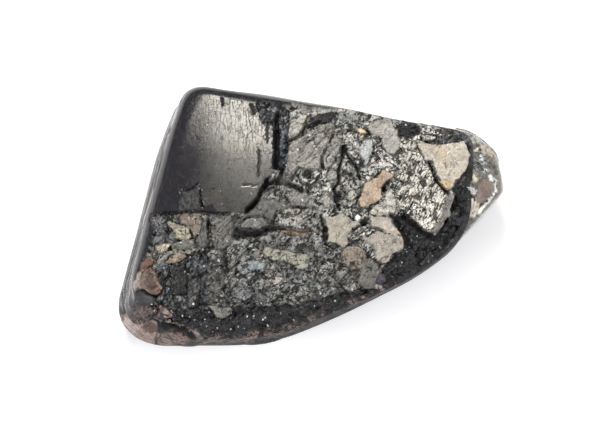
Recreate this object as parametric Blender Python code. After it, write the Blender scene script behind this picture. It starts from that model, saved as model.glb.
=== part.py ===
"""A tumbled stone: dark smoky quartz with pale minerals and a clear smoky end grown into it.

Metres, +Z up. The stone lies on its flat underside with its polished, broken face up and its
long way along X. The origin is the middle of its bounding box, at the bottom.

Sizes are in millimetres, and are turned to metres when the mesh is made. Places on the polished
face are measured from the face's own middle, to the right (x) and towards the far edge (y).
"""
import math

import bmesh
import bpy
import numpy as np

MM = 0.001

# Driving dimensions
THICKNESS = 14.0
FACE_DOME_RADIUS = 130.0
FACE_TILT_X = -0.012
FACE_TILT_Y = 0.004
UNDERSIDE_ROUNDING = 5.0
CORNER_ROUNDING = 2.0
RIM_ROUNDING = 1.5
RIM_ROUNDING_AT_LEFT = 2.4
RIM_LEFT_FROM = (6.0, 12.0)

# Walls: heading of the outward normal, reach from the middle at the height of the rim, and
# how many degrees the wall spreads on its way down
RIM_HEIGHT = 13.0
WALLS = {
    "left": (166.3, 15.72, 11.5),
    "left_foot": (165.0, 21.3, -16.0),
    "far_left_corner": (150.0, 17.95, 6.0),
    "far": (80.2, 11.55, 4.0),
    "far_foot": (84.0, 14.6, -15.0),
    "right": (-3.0, 16.25, 0.0),
    "right_corner": (-41.0, 13.1, -3.0),
    "long_slant": (-63.6, 10.1, -5.0),
    "near_slant": (-76.0, 11.35, -3.0),
    "near": (267.5, 12.7, 1.0),
    "near_foot": (272.0, 15.0, -15.0),
    "left_near_corner": (223.0, 18.15, 17.0),
}

# The smoky end: an egg with flat faces, sunk into the right wall
END_MIDDLE = (14.5, 4.1, 6.6)
END_RADII = (5.8, 6.1, 5.9)
END_ROUNDING = 0.5
END_FACES = {
    "upper": (40.0, 48.0, 4.9),
    "far_shoulder": (48.0, 14.0, 5.95),
    "side": (10.0, 8.0, 5.4),
    "near_shoulder": (-43.0, -2.0, 4.4),
    "lower": (0.0, -50.0, 5.0),
}

# Mesh: the start block's corners in plan, how finely it and its top are cut, and its middle
BLOCK_CORNERS = {
    (-1, 1): (-13.0, 12.8), (1, 1): (16.0, 8.4),
    (1, -1): (14.6, -4.2), (-1, -1): (-17.0, -10.8),
}
BLOCK_MIDDLE = (-1.0, 0.0, THICKNESS / 2.0)
BLOCK_CUTS = 46
FACE_CUTS = 2
CAST_REACH = 60.0
CAST_HALVINGS = 34
SLOPE_STEP = 0.02
BASE_STRIP = 0.12
STONE_TRIANGLES = 8400

# Colours and finishes, as linear values
BLACK_BODY = (0.016, 0.015, 0.018, 1.0)
BODY_ROUGHNESS = 0.3

# The one large smooth pane of the face, as its outline
PANE = [
    (-20.0, 16.0), (-5.6, 16.0), (-5.9, 11.5), (-4.7, 9.0), (-3.9, 7.6), (-3.9, 4.6),
    (-4.9, 2.9), (-6.7, 0.4), (-11.2, 0.3), (-13.4, 1.0), (-20.0, 0.4),
]

# Polished plates that stand at the level of the face, as their outlines
PLATES = {
    "speckled": [(-2.1, 9.5), (-1.5, 10.3), (-0.2, 10.4), (-0.8, 8.7), (-1.0, 8.0), (-2.1, 7.7)],
    "cross_cracked": [
        (-2.1, 7.3), (-0.8, 8.0), (1.1, 9.1), (2.4, 9.2), (1.8, 7.3), (1.1, 5.9),
        (0.9, 4.7), (-0.2, 4.6), (-1.1, 4.9), (-2.6, 4.3), (-2.2, 6.2),
    ],
    "far_grey": [
        (5.9, 8.8), (6.6, 9.5), (7.7, 9.9), (8.8, 8.0), (9.0, 7.0), (8.3, 6.1), (7.4, 6.6), (7.1, 7.8),
    ],
    "white_quartz": [(5.0, 7.0), (5.3, 7.7), (6.2, 7.8), (6.4, 7.0), (5.6, 4.7), (5.0, 6.4)],
    "right_tan": [
        (10.5, 7.3), (12.5, 7.1), (15.4, 7.6), (16.1, 6.0), (15.7, 4.7), (14.6, 3.6),
        (14.2, 2.7), (13.0, 3.7), (12.2, 5.6), (11.2, 6.4),
    ],
    "striated": [
        (9.1, 6.7), (11.1, 6.4), (11.6, 5.3), (12.2, 4.7), (13.5, 2.4), (14.4, 1.6), (13.9, 0.3),
        (12.3, -1.8), (10.9, -0.8), (8.7, 0.7), (8.5, 1.9), (9.5, 3.3),
    ],
    "peach": [
        (5.5, 3.3), (6.9, 3.9), (7.4, 4.6), (8.2, 4.5), (7.3, 2.0), (5.7, 0.9), (4.8, 1.6), (5.3, 2.4),
    ],
    "green_grey": [(8.0, 2.7), (8.5, 0.4), (8.0, -0.1), (6.0, 0.2), (6.3, 1.0), (7.3, 1.4)],
    "star": [(1.4, -0.1), (3.0, 0.3), (5.2, -0.8), (3.8, -1.9), (3.4, -3.4), (1.8, -2.7), (1.7, -1.5)],
    "near_peach": [
        (6.1, 0.0), (7.7, -0.3), (8.8, -1.3), (9.5, -3.4), (7.9, -4.6), (7.2, -5.0),
        (6.3, -3.3), (5.4, -2.4), (7.2, -1.5),
    ],
    "upper_island": [(1.7, 4.4), (2.5, 4.7), (2.9, 3.6), (1.9, 3.3)],
    "lower_island": [(1.0, 2.3), (2.2, 2.5), (2.4, 1.0), (1.4, 0.6)],
    "leaf": [(-7.1, -1.2), (-6.1, -0.3), (-4.9, -0.2), (-3.7, -1.0), (-5.6, -1.5)],
    "beige_flat": [(-3.3, 0.6), (-0.1, 0.7), (0.2, -1.2), (-1.8, -1.8), (-3.4, -1.0)],
    "green_beige": [(-4.9, -3.5), (-4.1, -3.2), (0.0, -4.1), (-0.1, -5.3), (-1.9, -4.7), (-4.7, -4.3)],
    "dark_upper": [(-9.9, -0.4), (-7.8, -0.4), (-7.6, -3.0), (-9.8, -3.4)],
    "dark_strip": [(-10.4, -5.2), (-8.5, -5.2), (-8.6, -8.5), (-10.3, -8.4)],
    "dark_square": [(-7.2, -4.8), (-4.6, -4.9), (-4.4, -6.7), (-7.0, -6.8)],
    "dark_bar": [(-8.1, -7.1), (-4.9, -7.0), (-4.8, -8.4), (-8.0, -8.5)],
}

# Open cracks: points along it, width and depth. The flanks reach from a share of the width to another
CRACK_FLANK = (0.15, 0.75)
CRACKS = {
    "trough": ([(-3.0, 9.9), (-3.4, 7.2), (-3.0, 4.6), (-2.4, 3.6), (-0.7, 2.5)], 0.95, 0.95),
    "pane_foot": ([(-4.4, 3.2), (-6.0, 1.5), (-6.8, 0.1), (-9.6, -0.5), (-11.6, 0.2)], 0.6, 0.5),
    "middle": ([(3.2, 7.0), (2.9, 4.2), (3.5, 1.4)], 1.0, 0.9),
    "left_of_star": ([(1.0, 2.9), (0.6, 0.3), (1.4, -3.4)], 0.6, 0.6),
    "over_plate": ([(8.4, 5.6), (9.2, 7.9), (10.8, 8.6)], 0.6, 0.7),
    "right_slit": ([(12.4, 5.3), (12.6, 3.6), (13.6, 1.6)], 0.55, 0.6),
    "low_hollow": ([(-7.4, -1.6), (-5.6, -1.8), (-4.1, -1.4)], 0.9, 0.8),
    "low_slit": ([(-10.2, -0.6), (-10.3, -4.2), (-9.6, -8.0)], 0.5, 0.4),
    "low_cross": ([(-9.6, -8.6), (-5.0, -8.9), (-1.0, -8.3)], 0.5, 0.45),
    "under_plate": ([(7.0, -1.7), (8.6, -3.4), (11.6, -3.8)], 1.0, 0.8),
}

# Broken-out pits: middle, half length, half width, turn in degrees, depth. The flank is a share
# of the half width
PIT_FLANK = 0.55
PITS = {
    "beside_trough": (-3.6, 10.4, 1.5, 0.8, -10.0, 0.8),
    "left_of_middle": (-0.3, 4.4, 0.9, 0.5, 10.0, 0.8),
    "over_star": (2.2, 1.2, 1.2, 0.7, 60.0, 0.8),
    "beside_star": (5.4, 1.4, 0.7, 1.2, 15.0, 0.7),
    "near_brown": (4.4, -5.2, 1.1, 0.6, 20.0, 0.6),
    "slant_crumble": (9.6, -5.4, 1.6, 1.1, 35.0, 0.9),
    "corner_crumble": (13.4, -2.4, 1.4, 0.9, 60.0, 0.9),
    "rim_notch": (16.0, 3.1, 0.8, 1.0, 0.0, 1.0),
    "rim_bite": (15.9, 0.2, 0.9, 0.7, 0.0, 0.9),
    "slant_notch": (6.0, -8.8, 1.0, 0.6, 25.0, 0.8),
    "near_notch": (-0.8, -11.2, 1.3, 0.6, 20.0, 0.7),
    "left_gap": (-13.4, -9.6, 1.5, 0.5, -15.0, 1.0),
}

# Rounded lumps of grown-in quartz: middle, reach along x, y and z, height. The flank is a share
# of the reach
LUMP_FLANK = 0.7
LUMPS = {
    "long_grain": ((-12.2, -0.6, 13.8), (1.8, 1.0, 2.0), 0.3),
    "cream_grain": ((-14.6, -3.2, 13.3), (1.1, 0.7, 2.0), 0.35),
    "red_brown_grain": ((-15.8, -6.6, 12.9), (1.1, 1.3, 2.0), 0.45),
    "corner_mass": ((-17.6, -9.4, 9.5), (3.2, 2.6, 2.8), 0.6),
    "corner_foot": ((-12.9, -12.2, 8.6), (2.6, 2.0, 2.4), 0.35),
    "near_swell": ((-4.5, -12.2, 7.4), (3.4, 2.0, 2.2), 0.3),
    "plate_back": ((11.4, 1.2, 13.3), (2.4, 2.0, 2.0), 0.25),
}

# Broken ground between the plates: stretched cells that stand at different levels
GROUND_DROP = 0.3
GROUND_FROM_WALL = (0.7, 1.7)
PLATE_EDGE_WIDTH = 0.35
CELL_SEED = 11
CELL_SPACING = 1.7
CELL_STRETCH = 1.5
CELL_TURN = 38.0
CELL_DROP = 0.5
CELL_TILT = 0.12
CELL_JOINT_WIDTH = 0.55
CELL_SCATTER = 0.42
CELL_FIELD = 22.0

# Ridges that run along the left wall. Each wanders in two waves along y, given as radians per
# millimetre, start and swing, and they are stronger in some places than in others
WALL_RIDGE_PITCH = 1.7
WALL_RIDGE_HEIGHT = 0.11
LEFT_WALL_FROM = (13.6, 15.2)
RIDGE_WANDER = [(0.31, 0.5, 0.9), (0.83, 0.0, 0.5)]
RIDGE_UNEVEN = (-0.22, 0.9)
RIDGE_UNEVEN_SHARE = 0.45

# Low swells of the walls and the underside: radians per millimetre along x, y and z, start, height
SWELLS = [
    ((0.26, 0.18, 0.42), 1.17, 0.05),
    ((-0.22, 0.4, 0.34), -0.99, 0.05),
    ((0.62, -0.5, 0.66), 2.79, 0.04),
]
SWELL_SHARE_AT_LEFT = 0.4

# Upward part of the normal between which the face's relief comes in, and the walls' goes out
FACE_FROM = (0.35, 0.8)
WALL_FROM = (-0.95, -0.6)


def smooth_step(values, low, high):
    """0 below low, 1 above high and a smooth rise between."""
    t = np.clip((values - low) / (high - low), 0.0, 1.0)
    return t * t * (3.0 - 2.0 * t)


def smooth_max(first, second, rounding):
    """The larger of two distances, with the edge between them rounded."""
    overlap = np.clip(rounding - np.abs(first - second), 0.0, None)
    return np.maximum(first, second) + overlap * overlap / (4.0 * rounding)


def outward(heading, lean):
    """Unit vector at a heading in plan, tipped up by lean degrees."""
    turn = math.radians(heading)
    tip = math.radians(lean)
    return np.array([math.cos(turn) * math.cos(tip), math.sin(turn) * math.cos(tip), math.sin(tip)])


def wall_distance(points, heading, reach, spread):
    """Distance outside one wall, which passes the given reach at the rim's height."""
    normal = outward(heading, spread)
    on_rim = outward(heading, 0.0) * reach + np.array([0.0, 0.0, RIM_HEIGHT])
    return (points - on_rim) @ normal


def face_height(points):
    """Height of the domed polished face over each point."""
    x, y = points[:, 0], points[:, 1]
    dome = (x * x + y * y) / (2.0 * FACE_DOME_RADIUS)
    return THICKNESS + FACE_TILT_X * x + FACE_TILT_Y * y - dome


def walls_distance(points):
    """Distance outside all the walls."""
    walls = None
    for heading, reach, spread in WALLS.values():
        wall = wall_distance(points, heading, reach, spread)
        walls = wall if walls is None else smooth_max(walls, wall, CORNER_ROUNDING)
    return walls


def stone_distance(points):
    """Distance outside the rounded block of the black stone."""
    walls = walls_distance(points)
    face = points[:, 2] - face_height(points)
    leftness = smooth_step(-points[:, 0], *RIM_LEFT_FROM)
    rim = RIM_ROUNDING + (RIM_ROUNDING_AT_LEFT - RIM_ROUNDING) * leftness
    upper = smooth_max(face, walls, rim)
    return smooth_max(upper, -points[:, 2], UNDERSIDE_ROUNDING)


def end_distance(points):
    """Distance outside the smoky end."""
    offset = points - np.array(END_MIDDLE)
    radii = np.array(END_RADII)
    distance = (np.linalg.norm(offset / radii, axis=1) - 1.0) * radii.min()
    for heading, lean, reach in END_FACES.values():
        distance = smooth_max(distance, offset @ outward(heading, lean) - reach, END_ROUNDING)
    return distance


def cast(points, middle, distance):
    """Slide each point along its ray from the middle until it lies on the solid."""
    middle = np.array(middle)
    rays = points - middle
    rays /= np.linalg.norm(rays, axis=1)[:, None]
    near = np.zeros(len(points))
    far = np.full(len(points), CAST_REACH)
    for _ in range(CAST_HALVINGS):
        half = (near + far) / 2.0
        inside = distance(middle + rays * half[:, None]) < 0.0
        near = np.where(inside, half, near)
        far = np.where(inside, far, half)
    return middle + rays * near[:, None]


def slopes(points, distance):
    """Unit outward normals of a solid at its surface points."""
    normals = np.empty_like(points)
    for axis in range(3):
        shift = np.zeros(3)
        shift[axis] = SLOPE_STEP
        normals[:, axis] = distance(points + shift) - distance(points - shift)
    return normals / np.linalg.norm(normals, axis=1)[:, None]


def outside_outline(flat, outline):
    """Distance of plan points from a closed outline, negative inside it."""
    nearest = np.full(len(flat), 1e9)
    inside = np.zeros(len(flat), bool)
    for (x0, y0), (x1, y1) in zip(outline, outline[1:] + outline[:1]):
        nearest = np.minimum(nearest, from_segment(flat, (x0, y0), (x1, y1)))
        crosses = (y0 > flat[:, 1]) != (y1 > flat[:, 1])
        if y1 != y0:
            where = x0 + (flat[:, 1] - y0) * (x1 - x0) / (y1 - y0)
            inside ^= crosses & (flat[:, 0] < where)
    return np.where(inside, -nearest, nearest)


def from_segment(flat, start, end):
    """Distance of plan points from a straight segment."""
    start = np.array(start)
    along = np.array(end) - start
    share = np.clip((flat - start) @ along / (along @ along), 0.0, 1.0)
    return np.linalg.norm(flat - start - share[:, None] * along, axis=1)


def from_line(flat, line):
    """Distance of plan points from a line of several points."""
    return np.min([from_segment(flat, a, b) for a, b in zip(line, line[1:])], axis=0)


def oval_share(flat, x, y, half_length, half_width, turn):
    """1 in the middle of a turned oval, 0 from its edge on."""
    offset = flat - np.array([x, y])
    c, s = math.cos(math.radians(turn)), math.sin(math.radians(turn))
    along = (offset[:, 0] * c + offset[:, 1] * s) / half_length
    across = (offset[:, 1] * c - offset[:, 0] * s) / half_width
    return smooth_step(1.0 - np.hypot(along, across), 0.0, PIT_FLANK)


def cell_relief(flat):
    """Levels, tilts and joints of the broken ground."""
    random = np.random.default_rng(CELL_SEED)
    c, s = math.cos(math.radians(CELL_TURN)), math.sin(math.radians(CELL_TURN))
    along = (flat[:, 0] * c + flat[:, 1] * s) / CELL_STRETCH
    across = flat[:, 1] * c - flat[:, 0] * s
    turned = np.stack([along, across], axis=1)
    steps = np.arange(-CELL_FIELD, CELL_FIELD, CELL_SPACING)
    grid = np.stack(np.meshgrid(steps, steps), -1).reshape(-1, 2)
    middles = grid + random.uniform(-CELL_SCATTER, CELL_SCATTER, grid.shape) * CELL_SPACING
    drops = -CELL_DROP * random.random(len(middles)) ** 2
    tilts = random.uniform(-CELL_TILT, CELL_TILT, middles.shape)
    gaps = np.linalg.norm(turned[:, None] - middles[None], axis=2)
    order = np.argpartition(gaps, 1, axis=1)[:, :2]
    two = np.take_along_axis(gaps, order, axis=1)
    nearest = np.where(two[:, 0] <= two[:, 1], order[:, 0], order[:, 1])
    second = order.sum(axis=1) - nearest
    own = smooth_step(np.abs(two[:, 0] - two[:, 1]), -CELL_JOINT_WIDTH, CELL_JOINT_WIDTH)
    levels = [drops[i] + ((turned - middles[i]) * tilts[i]).sum(axis=1) for i in (nearest, second)]
    return levels[0] * own + levels[1] * (1.0 - own)


def face_relief(flat, from_wall):
    """How far the polished face stands out of its dome, negative where it is broken out."""
    outlines = [PANE] + list(PLATES.values())
    off_plates = np.min([outside_outline(flat, outline) for outline in outlines], axis=0)
    broken = smooth_step(off_plates, 0.0, PLATE_EDGE_WIDTH) * smooth_step(from_wall, *GROUND_FROM_WALL)
    relief = (cell_relief(flat) - GROUND_DROP) * broken
    for line, width, depth in CRACKS.values():
        floor, lip = width * CRACK_FLANK[0], width * CRACK_FLANK[1]
        open_share = 1.0 - smooth_step(from_line(flat, line), floor, lip)
        relief = np.minimum(relief, relief * (1.0 - open_share) - depth * open_share)
    for x, y, half_length, half_width, turn, depth in PITS.values():
        share = oval_share(flat, x, y, half_length, half_width, turn)
        relief = np.minimum(relief, relief * (1.0 - share) - depth * share)
    return relief


def lump_relief(points):
    """How far the grown-in lumps stand out."""
    relief = np.zeros(len(points))
    for middle, reach, height in LUMPS.values():
        away = np.linalg.norm((points - np.array(middle)) / np.array(reach), axis=1)
        relief += height * smooth_step(1.0 - away, 0.0, LUMP_FLANK)
    return relief


def wall_relief(points):
    """Swells of the walls, and the ridges along the left one."""
    relief = np.zeros(len(points))
    for waves, start, height in SWELLS:
        relief += height * np.sin(points @ np.array(waves) + start)
    heading, _, spread = WALLS["left"]
    on_left = smooth_step(points @ outward(heading, spread), *LEFT_WALL_FROM)
    y, z = points[:, 1], points[:, 2]
    wander = sum(swing * np.sin(waves * y + start) for waves, start, swing in RIDGE_WANDER)
    ridges = np.sin(z * 2.0 * math.pi / WALL_RIDGE_PITCH + wander)
    patches = np.sin(y * RIDGE_UNEVEN[0] + z * RIDGE_UNEVEN[1])
    uneven = 1.0 - RIDGE_UNEVEN_SHARE + RIDGE_UNEVEN_SHARE * patches
    swells_left = 1.0 - (1.0 - SWELL_SHARE_AT_LEFT) * on_left
    return relief * swells_left + WALL_RIDGE_HEIGHT * ridges * uneven * on_left


def shaped(points):
    """The block's points with the relief of the face and walls put in."""
    normals = slopes(points, stone_distance)
    on_face = smooth_step(normals[:, 2], *FACE_FROM)
    on_wall = (1.0 - on_face) * smooth_step(normals[:, 2], *WALL_FROM)
    height = face_relief(points[:, :2], -walls_distance(points)) * on_face
    height += wall_relief(points) * on_wall + lump_relief(points)
    return points + normals * height[:, None]


def mesh_points(mesh):
    """A mesh's points as an array."""
    points = np.empty(len(mesh.vertices) * 3, np.float32)
    mesh.vertices.foreach_get("co", points)
    return points.reshape(-1, 3).astype(float)


def set_mesh_points(mesh, points):
    """Put an array of points back into a mesh."""
    mesh.vertices.foreach_set("co", points.astype(np.float32).ravel())
    mesh.update()


def add_object(name, bm):
    """A new object that holds a bmesh."""
    mesh = bpy.data.meshes.new(name)
    bm.to_mesh(mesh)
    bm.free()
    thing = bpy.data.objects.new(name, mesh)
    bpy.context.collection.objects.link(thing)
    return thing


def black_block():
    """The black stone: a block cut into a grid, cast onto the rounded form and given its relief."""
    bm = bmesh.new()
    bmesh.ops.create_cube(bm, size=2.0)
    for vert in bm.verts:
        x, y = BLOCK_CORNERS[(round(vert.co.x), round(vert.co.y))]
        vert.co = (x, y, THICKNESS if vert.co.z > 0 else 0.0)
    bmesh.ops.subdivide_edges(bm, edges=bm.edges[:], cuts=BLOCK_CUTS, use_grid_fill=True)
    bm.normal_update()
    face_edges = [edge for edge in bm.edges if all(face.normal.z > 0.9 for face in edge.link_faces)]
    bmesh.ops.subdivide_edges(bm, edges=face_edges, cuts=FACE_CUTS, use_grid_fill=True)
    block = add_object("stone", bm)
    points = shaped(cast(mesh_points(block.data), BLOCK_MIDDLE, stone_distance))
    set_mesh_points(block.data, points * MM)
    return block


def smoky_end():
    """The smoky end: a ball cast onto the flat-faced egg."""
    bm = bmesh.new()
    bmesh.ops.create_icosphere(bm, subdivisions=4, radius=1.0)
    end = add_object("smoky_end", bm)
    points = mesh_points(end.data) + np.array(END_MIDDLE)
    set_mesh_points(end.data, cast(points, END_MIDDLE, end_distance) * MM)
    return end


def baked(thing):
    """Make an object's modifiers part of its mesh."""
    graph = bpy.context.evaluated_depsgraph_get()
    mesh = bpy.data.meshes.new_from_object(thing.evaluated_get(graph))
    thing.modifiers.clear()
    thing.data = mesh


def joined(block, end):
    """Grow the smoky end into the stone, and thin the mesh to few triangles."""
    union = block.modifiers.new("grown_together", "BOOLEAN")
    union.operation = "UNION"
    union.solver = "EXACT"
    union.object = end
    baked(block)
    bpy.data.objects.remove(end)
    triangles = sum(len(face.vertices) - 2 for face in block.data.polygons)
    thin = block.modifiers.new("few_triangles", "DECIMATE")
    thin.ratio = STONE_TRIANGLES / triangles
    thin.use_collapse_triangulate = True
    baked(block)
    return block


def stood_on_base(stone):
    """Press the underside flat, and put the origin at the middle of the box, at the bottom."""
    points = mesh_points(stone.data)
    low = points[:, 2].min()
    points[:, 2] -= low
    points[points[:, 2] < BASE_STRIP * MM, 2] = 0.0
    middle = (points.min(axis=0) + points.max(axis=0)) / 2.0
    points[:, :2] -= middle[:2]
    set_mesh_points(stone.data, points)


def black_material():
    """Dark glassy stone."""
    material = bpy.data.materials.new("dark_smoky_stone")
    material.use_nodes = True
    shader = material.node_tree.nodes["Principled BSDF"]
    shader.inputs["Base Color"].default_value = BLACK_BODY
    shader.inputs["Roughness"].default_value = BODY_ROUGHNESS
    shader.inputs["Metallic"].default_value = 0.0
    return material


def main():
    for thing in list(bpy.data.objects):
        bpy.data.objects.remove(thing)
    stone = joined(black_block(), smoky_end())
    stood_on_base(stone)
    stone.data.materials.clear()
    stone.data.materials.append(black_material())


main()
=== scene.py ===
"""The looks of a tumbled stone: black smoky quartz, broken and polished, with a clear smoky end.

Laid out as an add-on: each piece has its operator, and the panel in the 3D view's sidebar lists
them. Sizes in the tables are millimetres. The tables of the polished face give places as the
camera sees them, from the middle of the face: to the right, then towards the far edge.
"""
import itertools
import math
from collections import namedtuple

import bmesh
import bpy
import numpy as np
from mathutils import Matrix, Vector


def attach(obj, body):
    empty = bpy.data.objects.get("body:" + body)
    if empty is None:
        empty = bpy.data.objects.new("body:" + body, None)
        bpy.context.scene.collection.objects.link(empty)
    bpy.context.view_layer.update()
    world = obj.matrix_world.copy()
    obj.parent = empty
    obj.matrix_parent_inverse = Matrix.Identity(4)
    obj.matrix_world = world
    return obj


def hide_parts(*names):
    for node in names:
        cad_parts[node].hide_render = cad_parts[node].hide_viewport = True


bl_info = {
    "name": "Tumbled smoky stone",
    "version": (1, 0, 0),
    "blender": (4, 5, 0),
    "location": "3D View > Sidebar > Stone",
    "description": "Models a tumbled smoky stone and sets up its studio",
    "category": "Object",
}

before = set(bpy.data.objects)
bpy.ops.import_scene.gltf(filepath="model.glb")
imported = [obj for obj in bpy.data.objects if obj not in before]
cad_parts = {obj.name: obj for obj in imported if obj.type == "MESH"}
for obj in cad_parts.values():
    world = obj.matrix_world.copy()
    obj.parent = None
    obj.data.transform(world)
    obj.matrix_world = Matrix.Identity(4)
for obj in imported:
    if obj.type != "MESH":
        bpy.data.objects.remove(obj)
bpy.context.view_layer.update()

MM = 0.001
STONE_NODE = "stone"
BODY = "root"

# The face's own middle, from the middle of the stone's box
FACE_MIDDLE = (-0.1285, -0.5709, 0.0)

# The rounded block, as in the solid
THICKNESS = 14.0
FACE_DOME_RADIUS = 130.0
FACE_TILT_X = -0.012
FACE_TILT_Y = 0.004
UNDERSIDE_ROUNDING = 5.0
CORNER_ROUNDING = 2.0
RIM_ROUNDING = 1.5

# Walls: heading of the outward normal, reach from the middle at the height of the rim, and
# how many degrees the wall spreads on its way down
RIM_HEIGHT = 13.0
WALLS = {
    "left": (166.3, 15.72, 11.5),
    "left_foot": (165.0, 21.3, -16.0),
    "far_left_corner": (150.0, 17.95, 6.0),
    "far": (80.2, 11.55, 4.0),
    "far_foot": (84.0, 14.6, -15.0),
    "right": (-3.0, 16.25, 0.0),
    "right_corner": (-41.0, 13.1, -3.0),
    "long_slant": (-63.6, 10.1, -5.0),
    "near_slant": (-76.0, 11.35, -3.0),
    "near": (267.5, 12.7, 1.0),
    "near_foot": (272.0, 15.0, -15.0),
    "left_near_corner": (223.0, 18.15, 17.0),
}

# The smoky end: an egg with flat faces, sunk into the right wall
END_MIDDLE = (14.5, 4.1, 6.6)
END_RADII = (5.8, 6.1, 5.9)
END_ROUNDING = 0.5
END_FACES = {
    "upper": (40.0, 48.0, 4.9),
    "far_shoulder": (48.0, 14.0, 5.95),
    "side": (10.0, 8.0, 5.4),
    "near_shoulder": (-43.0, -2.0, 4.4),
    "lower": (0.0, -50.0, 5.0),
}

# Meshes: the start block's corners in plan, and how often each of its sides is cut
BLOCK_CORNERS = {
    (-1, 1): (-13.0, 12.8), (1, 1): (16.0, 8.4),
    (1, -1): (14.6, -4.2), (-1, -1): (-17.0, -10.8),
}
BLOCK_MIDDLE = (-1.0, 0.0, 7.0)
BLOCK_HEIGHT = 10.8
BLOCK_CUTS = (50, 36, 25)
WALL_CUTS = 1
FACE_CUTS = 2
CAST_REACH = 60.0
CAST_HALVINGS = 34
SLOPE_STEP = 0.02
BASE_STRIP = 0.12

# The camera: how high it stands, how far off, what it aims at and where that is seen
CAMERA_ELEVATION = 80.0
CAMERA_DISTANCE = 255.0
CAMERA_SENSOR = 36.0
CAMERA_TARGET = (0.0, 0.0, 13.7)
TARGET_SEEN_AT = (0.4, 0.05)

# Palette: linear colours of the minerals
PALETTE = {
    "body": (0.009, 0.0083, 0.0115),
    # satin: the pane's black, lifted as a painted sheen of its polish
    "satin": (0.05, 0.049, 0.0465),
    "dark_grey": (0.05, 0.051, 0.053),
    "grey": (0.207, 0.2, 0.186),
    "blue_dark": (0.045, 0.05, 0.06),
    "blue_grey": (0.21, 0.235, 0.24),
    "beige": (0.42, 0.4, 0.355),
    "beige_grey": (0.35, 0.34, 0.31),
    "tan": (0.46, 0.415, 0.345),
    "peach": (0.53, 0.405, 0.3),
    "orange": (0.57, 0.44, 0.285),
    "peach_grey": (0.47, 0.42, 0.365),
    "quartz": (0.34, 0.355, 0.345),
    "green_grey": (0.312, 0.302, 0.264),
    "green_beige": (0.32, 0.31, 0.25),
    "cream": (0.5, 0.45, 0.34),
    "brown": (0.2, 0.11, 0.075),
    "red_brown": (0.15, 0.078, 0.05),
    "pink_brown": (0.25, 0.178, 0.157),
    "taupe": (0.27, 0.225, 0.18),
    "purple": (0.035, 0.028, 0.042),
    "rust": (0.17, 0.115, 0.078),
    "mauve": (0.4, 0.32, 0.295),
    "tan_brown": (0.24, 0.158, 0.12),
    "umber": (0.3, 0.222, 0.178),
}

# How each kind of mineral is finished: roughness, share of dark specks, of dark strokes and of
# fine cracks, how far its facets tip, how much broken relief it has, how far its crumbs differ in
# tone, the heading of its grain in degrees, and its shares of black fragments and of white flecks
# that are painted glints
Kind = namedtuple(
    "Kind", "roughness specks strokes cracks facets relief crumbs heading pepper flecks"
)
KINDS = {
    "rim": Kind(0.16, 0, 0, 0, 0, 0, 0, 80, 0, 0),
    "pane": Kind(0.13, 0.7, 0.5, 0, 0, 0, 0, 90, 0, 0),
    "satin": Kind(0.28, 0.4, 0.5, 0.3, 0.1, 0.05, 0.1, 80, 0, 0.1),
    "speckled": Kind(0.36, 0.8, 0.6, 0.3, 0.12, 0.08, 0.1, 40, 0.03, 0.3),
    "striated": Kind(0.34, 0.3, 1.5, 1, 0.15, 0.12, 0.12, 62, 0.04, 0.6),
    "striped": Kind(0.34, 0.3, 0.9, 0.2, 0.15, 0.1, 0.1, 90, 0.03, 0.2),
    "streaked": Kind(0.34, 0.5, 0.9, 0.5, 0.3, 0.3, 0.3, 35, 0.12, 0.3),
    "mosaic": Kind(0.42, 0.5, 0.4, 0.8, 0.3, 0.4, 0.3, 30, 0.12, 0.5),
    "feldspar": Kind(0.44, 0.35, 0.15, 0.12, 0.08, 0.04, 0.06, 60, 0, 0.2),
    "grain": Kind(0.42, 0.4, 0.2, 0.3, 0.2, 0.2, 0.15, 50, 0.04, 0.2),
    "quartz": Kind(0.28, 0.3, 0.2, 0.3, 0.15, 0.12, 0.12, 75, 0.02, 0.3),
    "clear": Kind(0.16, 0.2, 0.1, 0.25, 0.15, 0.05, 0.1, 20, 0, 0.2),
    "rubble": Kind(0.34, 0.35, 0.6, 0.8, 0.25, 1, 0.55, 45, 0.12, 0.25),
    "rubble_dark": Kind(0.3, 0.4, 0.6, 0.8, 0.35, 1, 0.6, 80, 0.2, 0.4),
    "seam": Kind(0.34, 0.6, 0.9, 0.8, 0.3, 0.5, 0.4, 15, 0.3, 0.3),
    "ribbed": Kind(0.3, 0.3, 0.8, 0.5, 0.2, 0.1, 0.15, -32, 0.05, 0.2),
    "black": Kind(0.24, 0.2, 0.2, 0.4, 0.9, 0.9, 0.3, 60, 0.2, 0.45),
    "glitter": Kind(0.17, 0.2, 0.1, 0.4, 0.9, 0.6, 0.4, 30, 0.1, 0.8),
}

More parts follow.
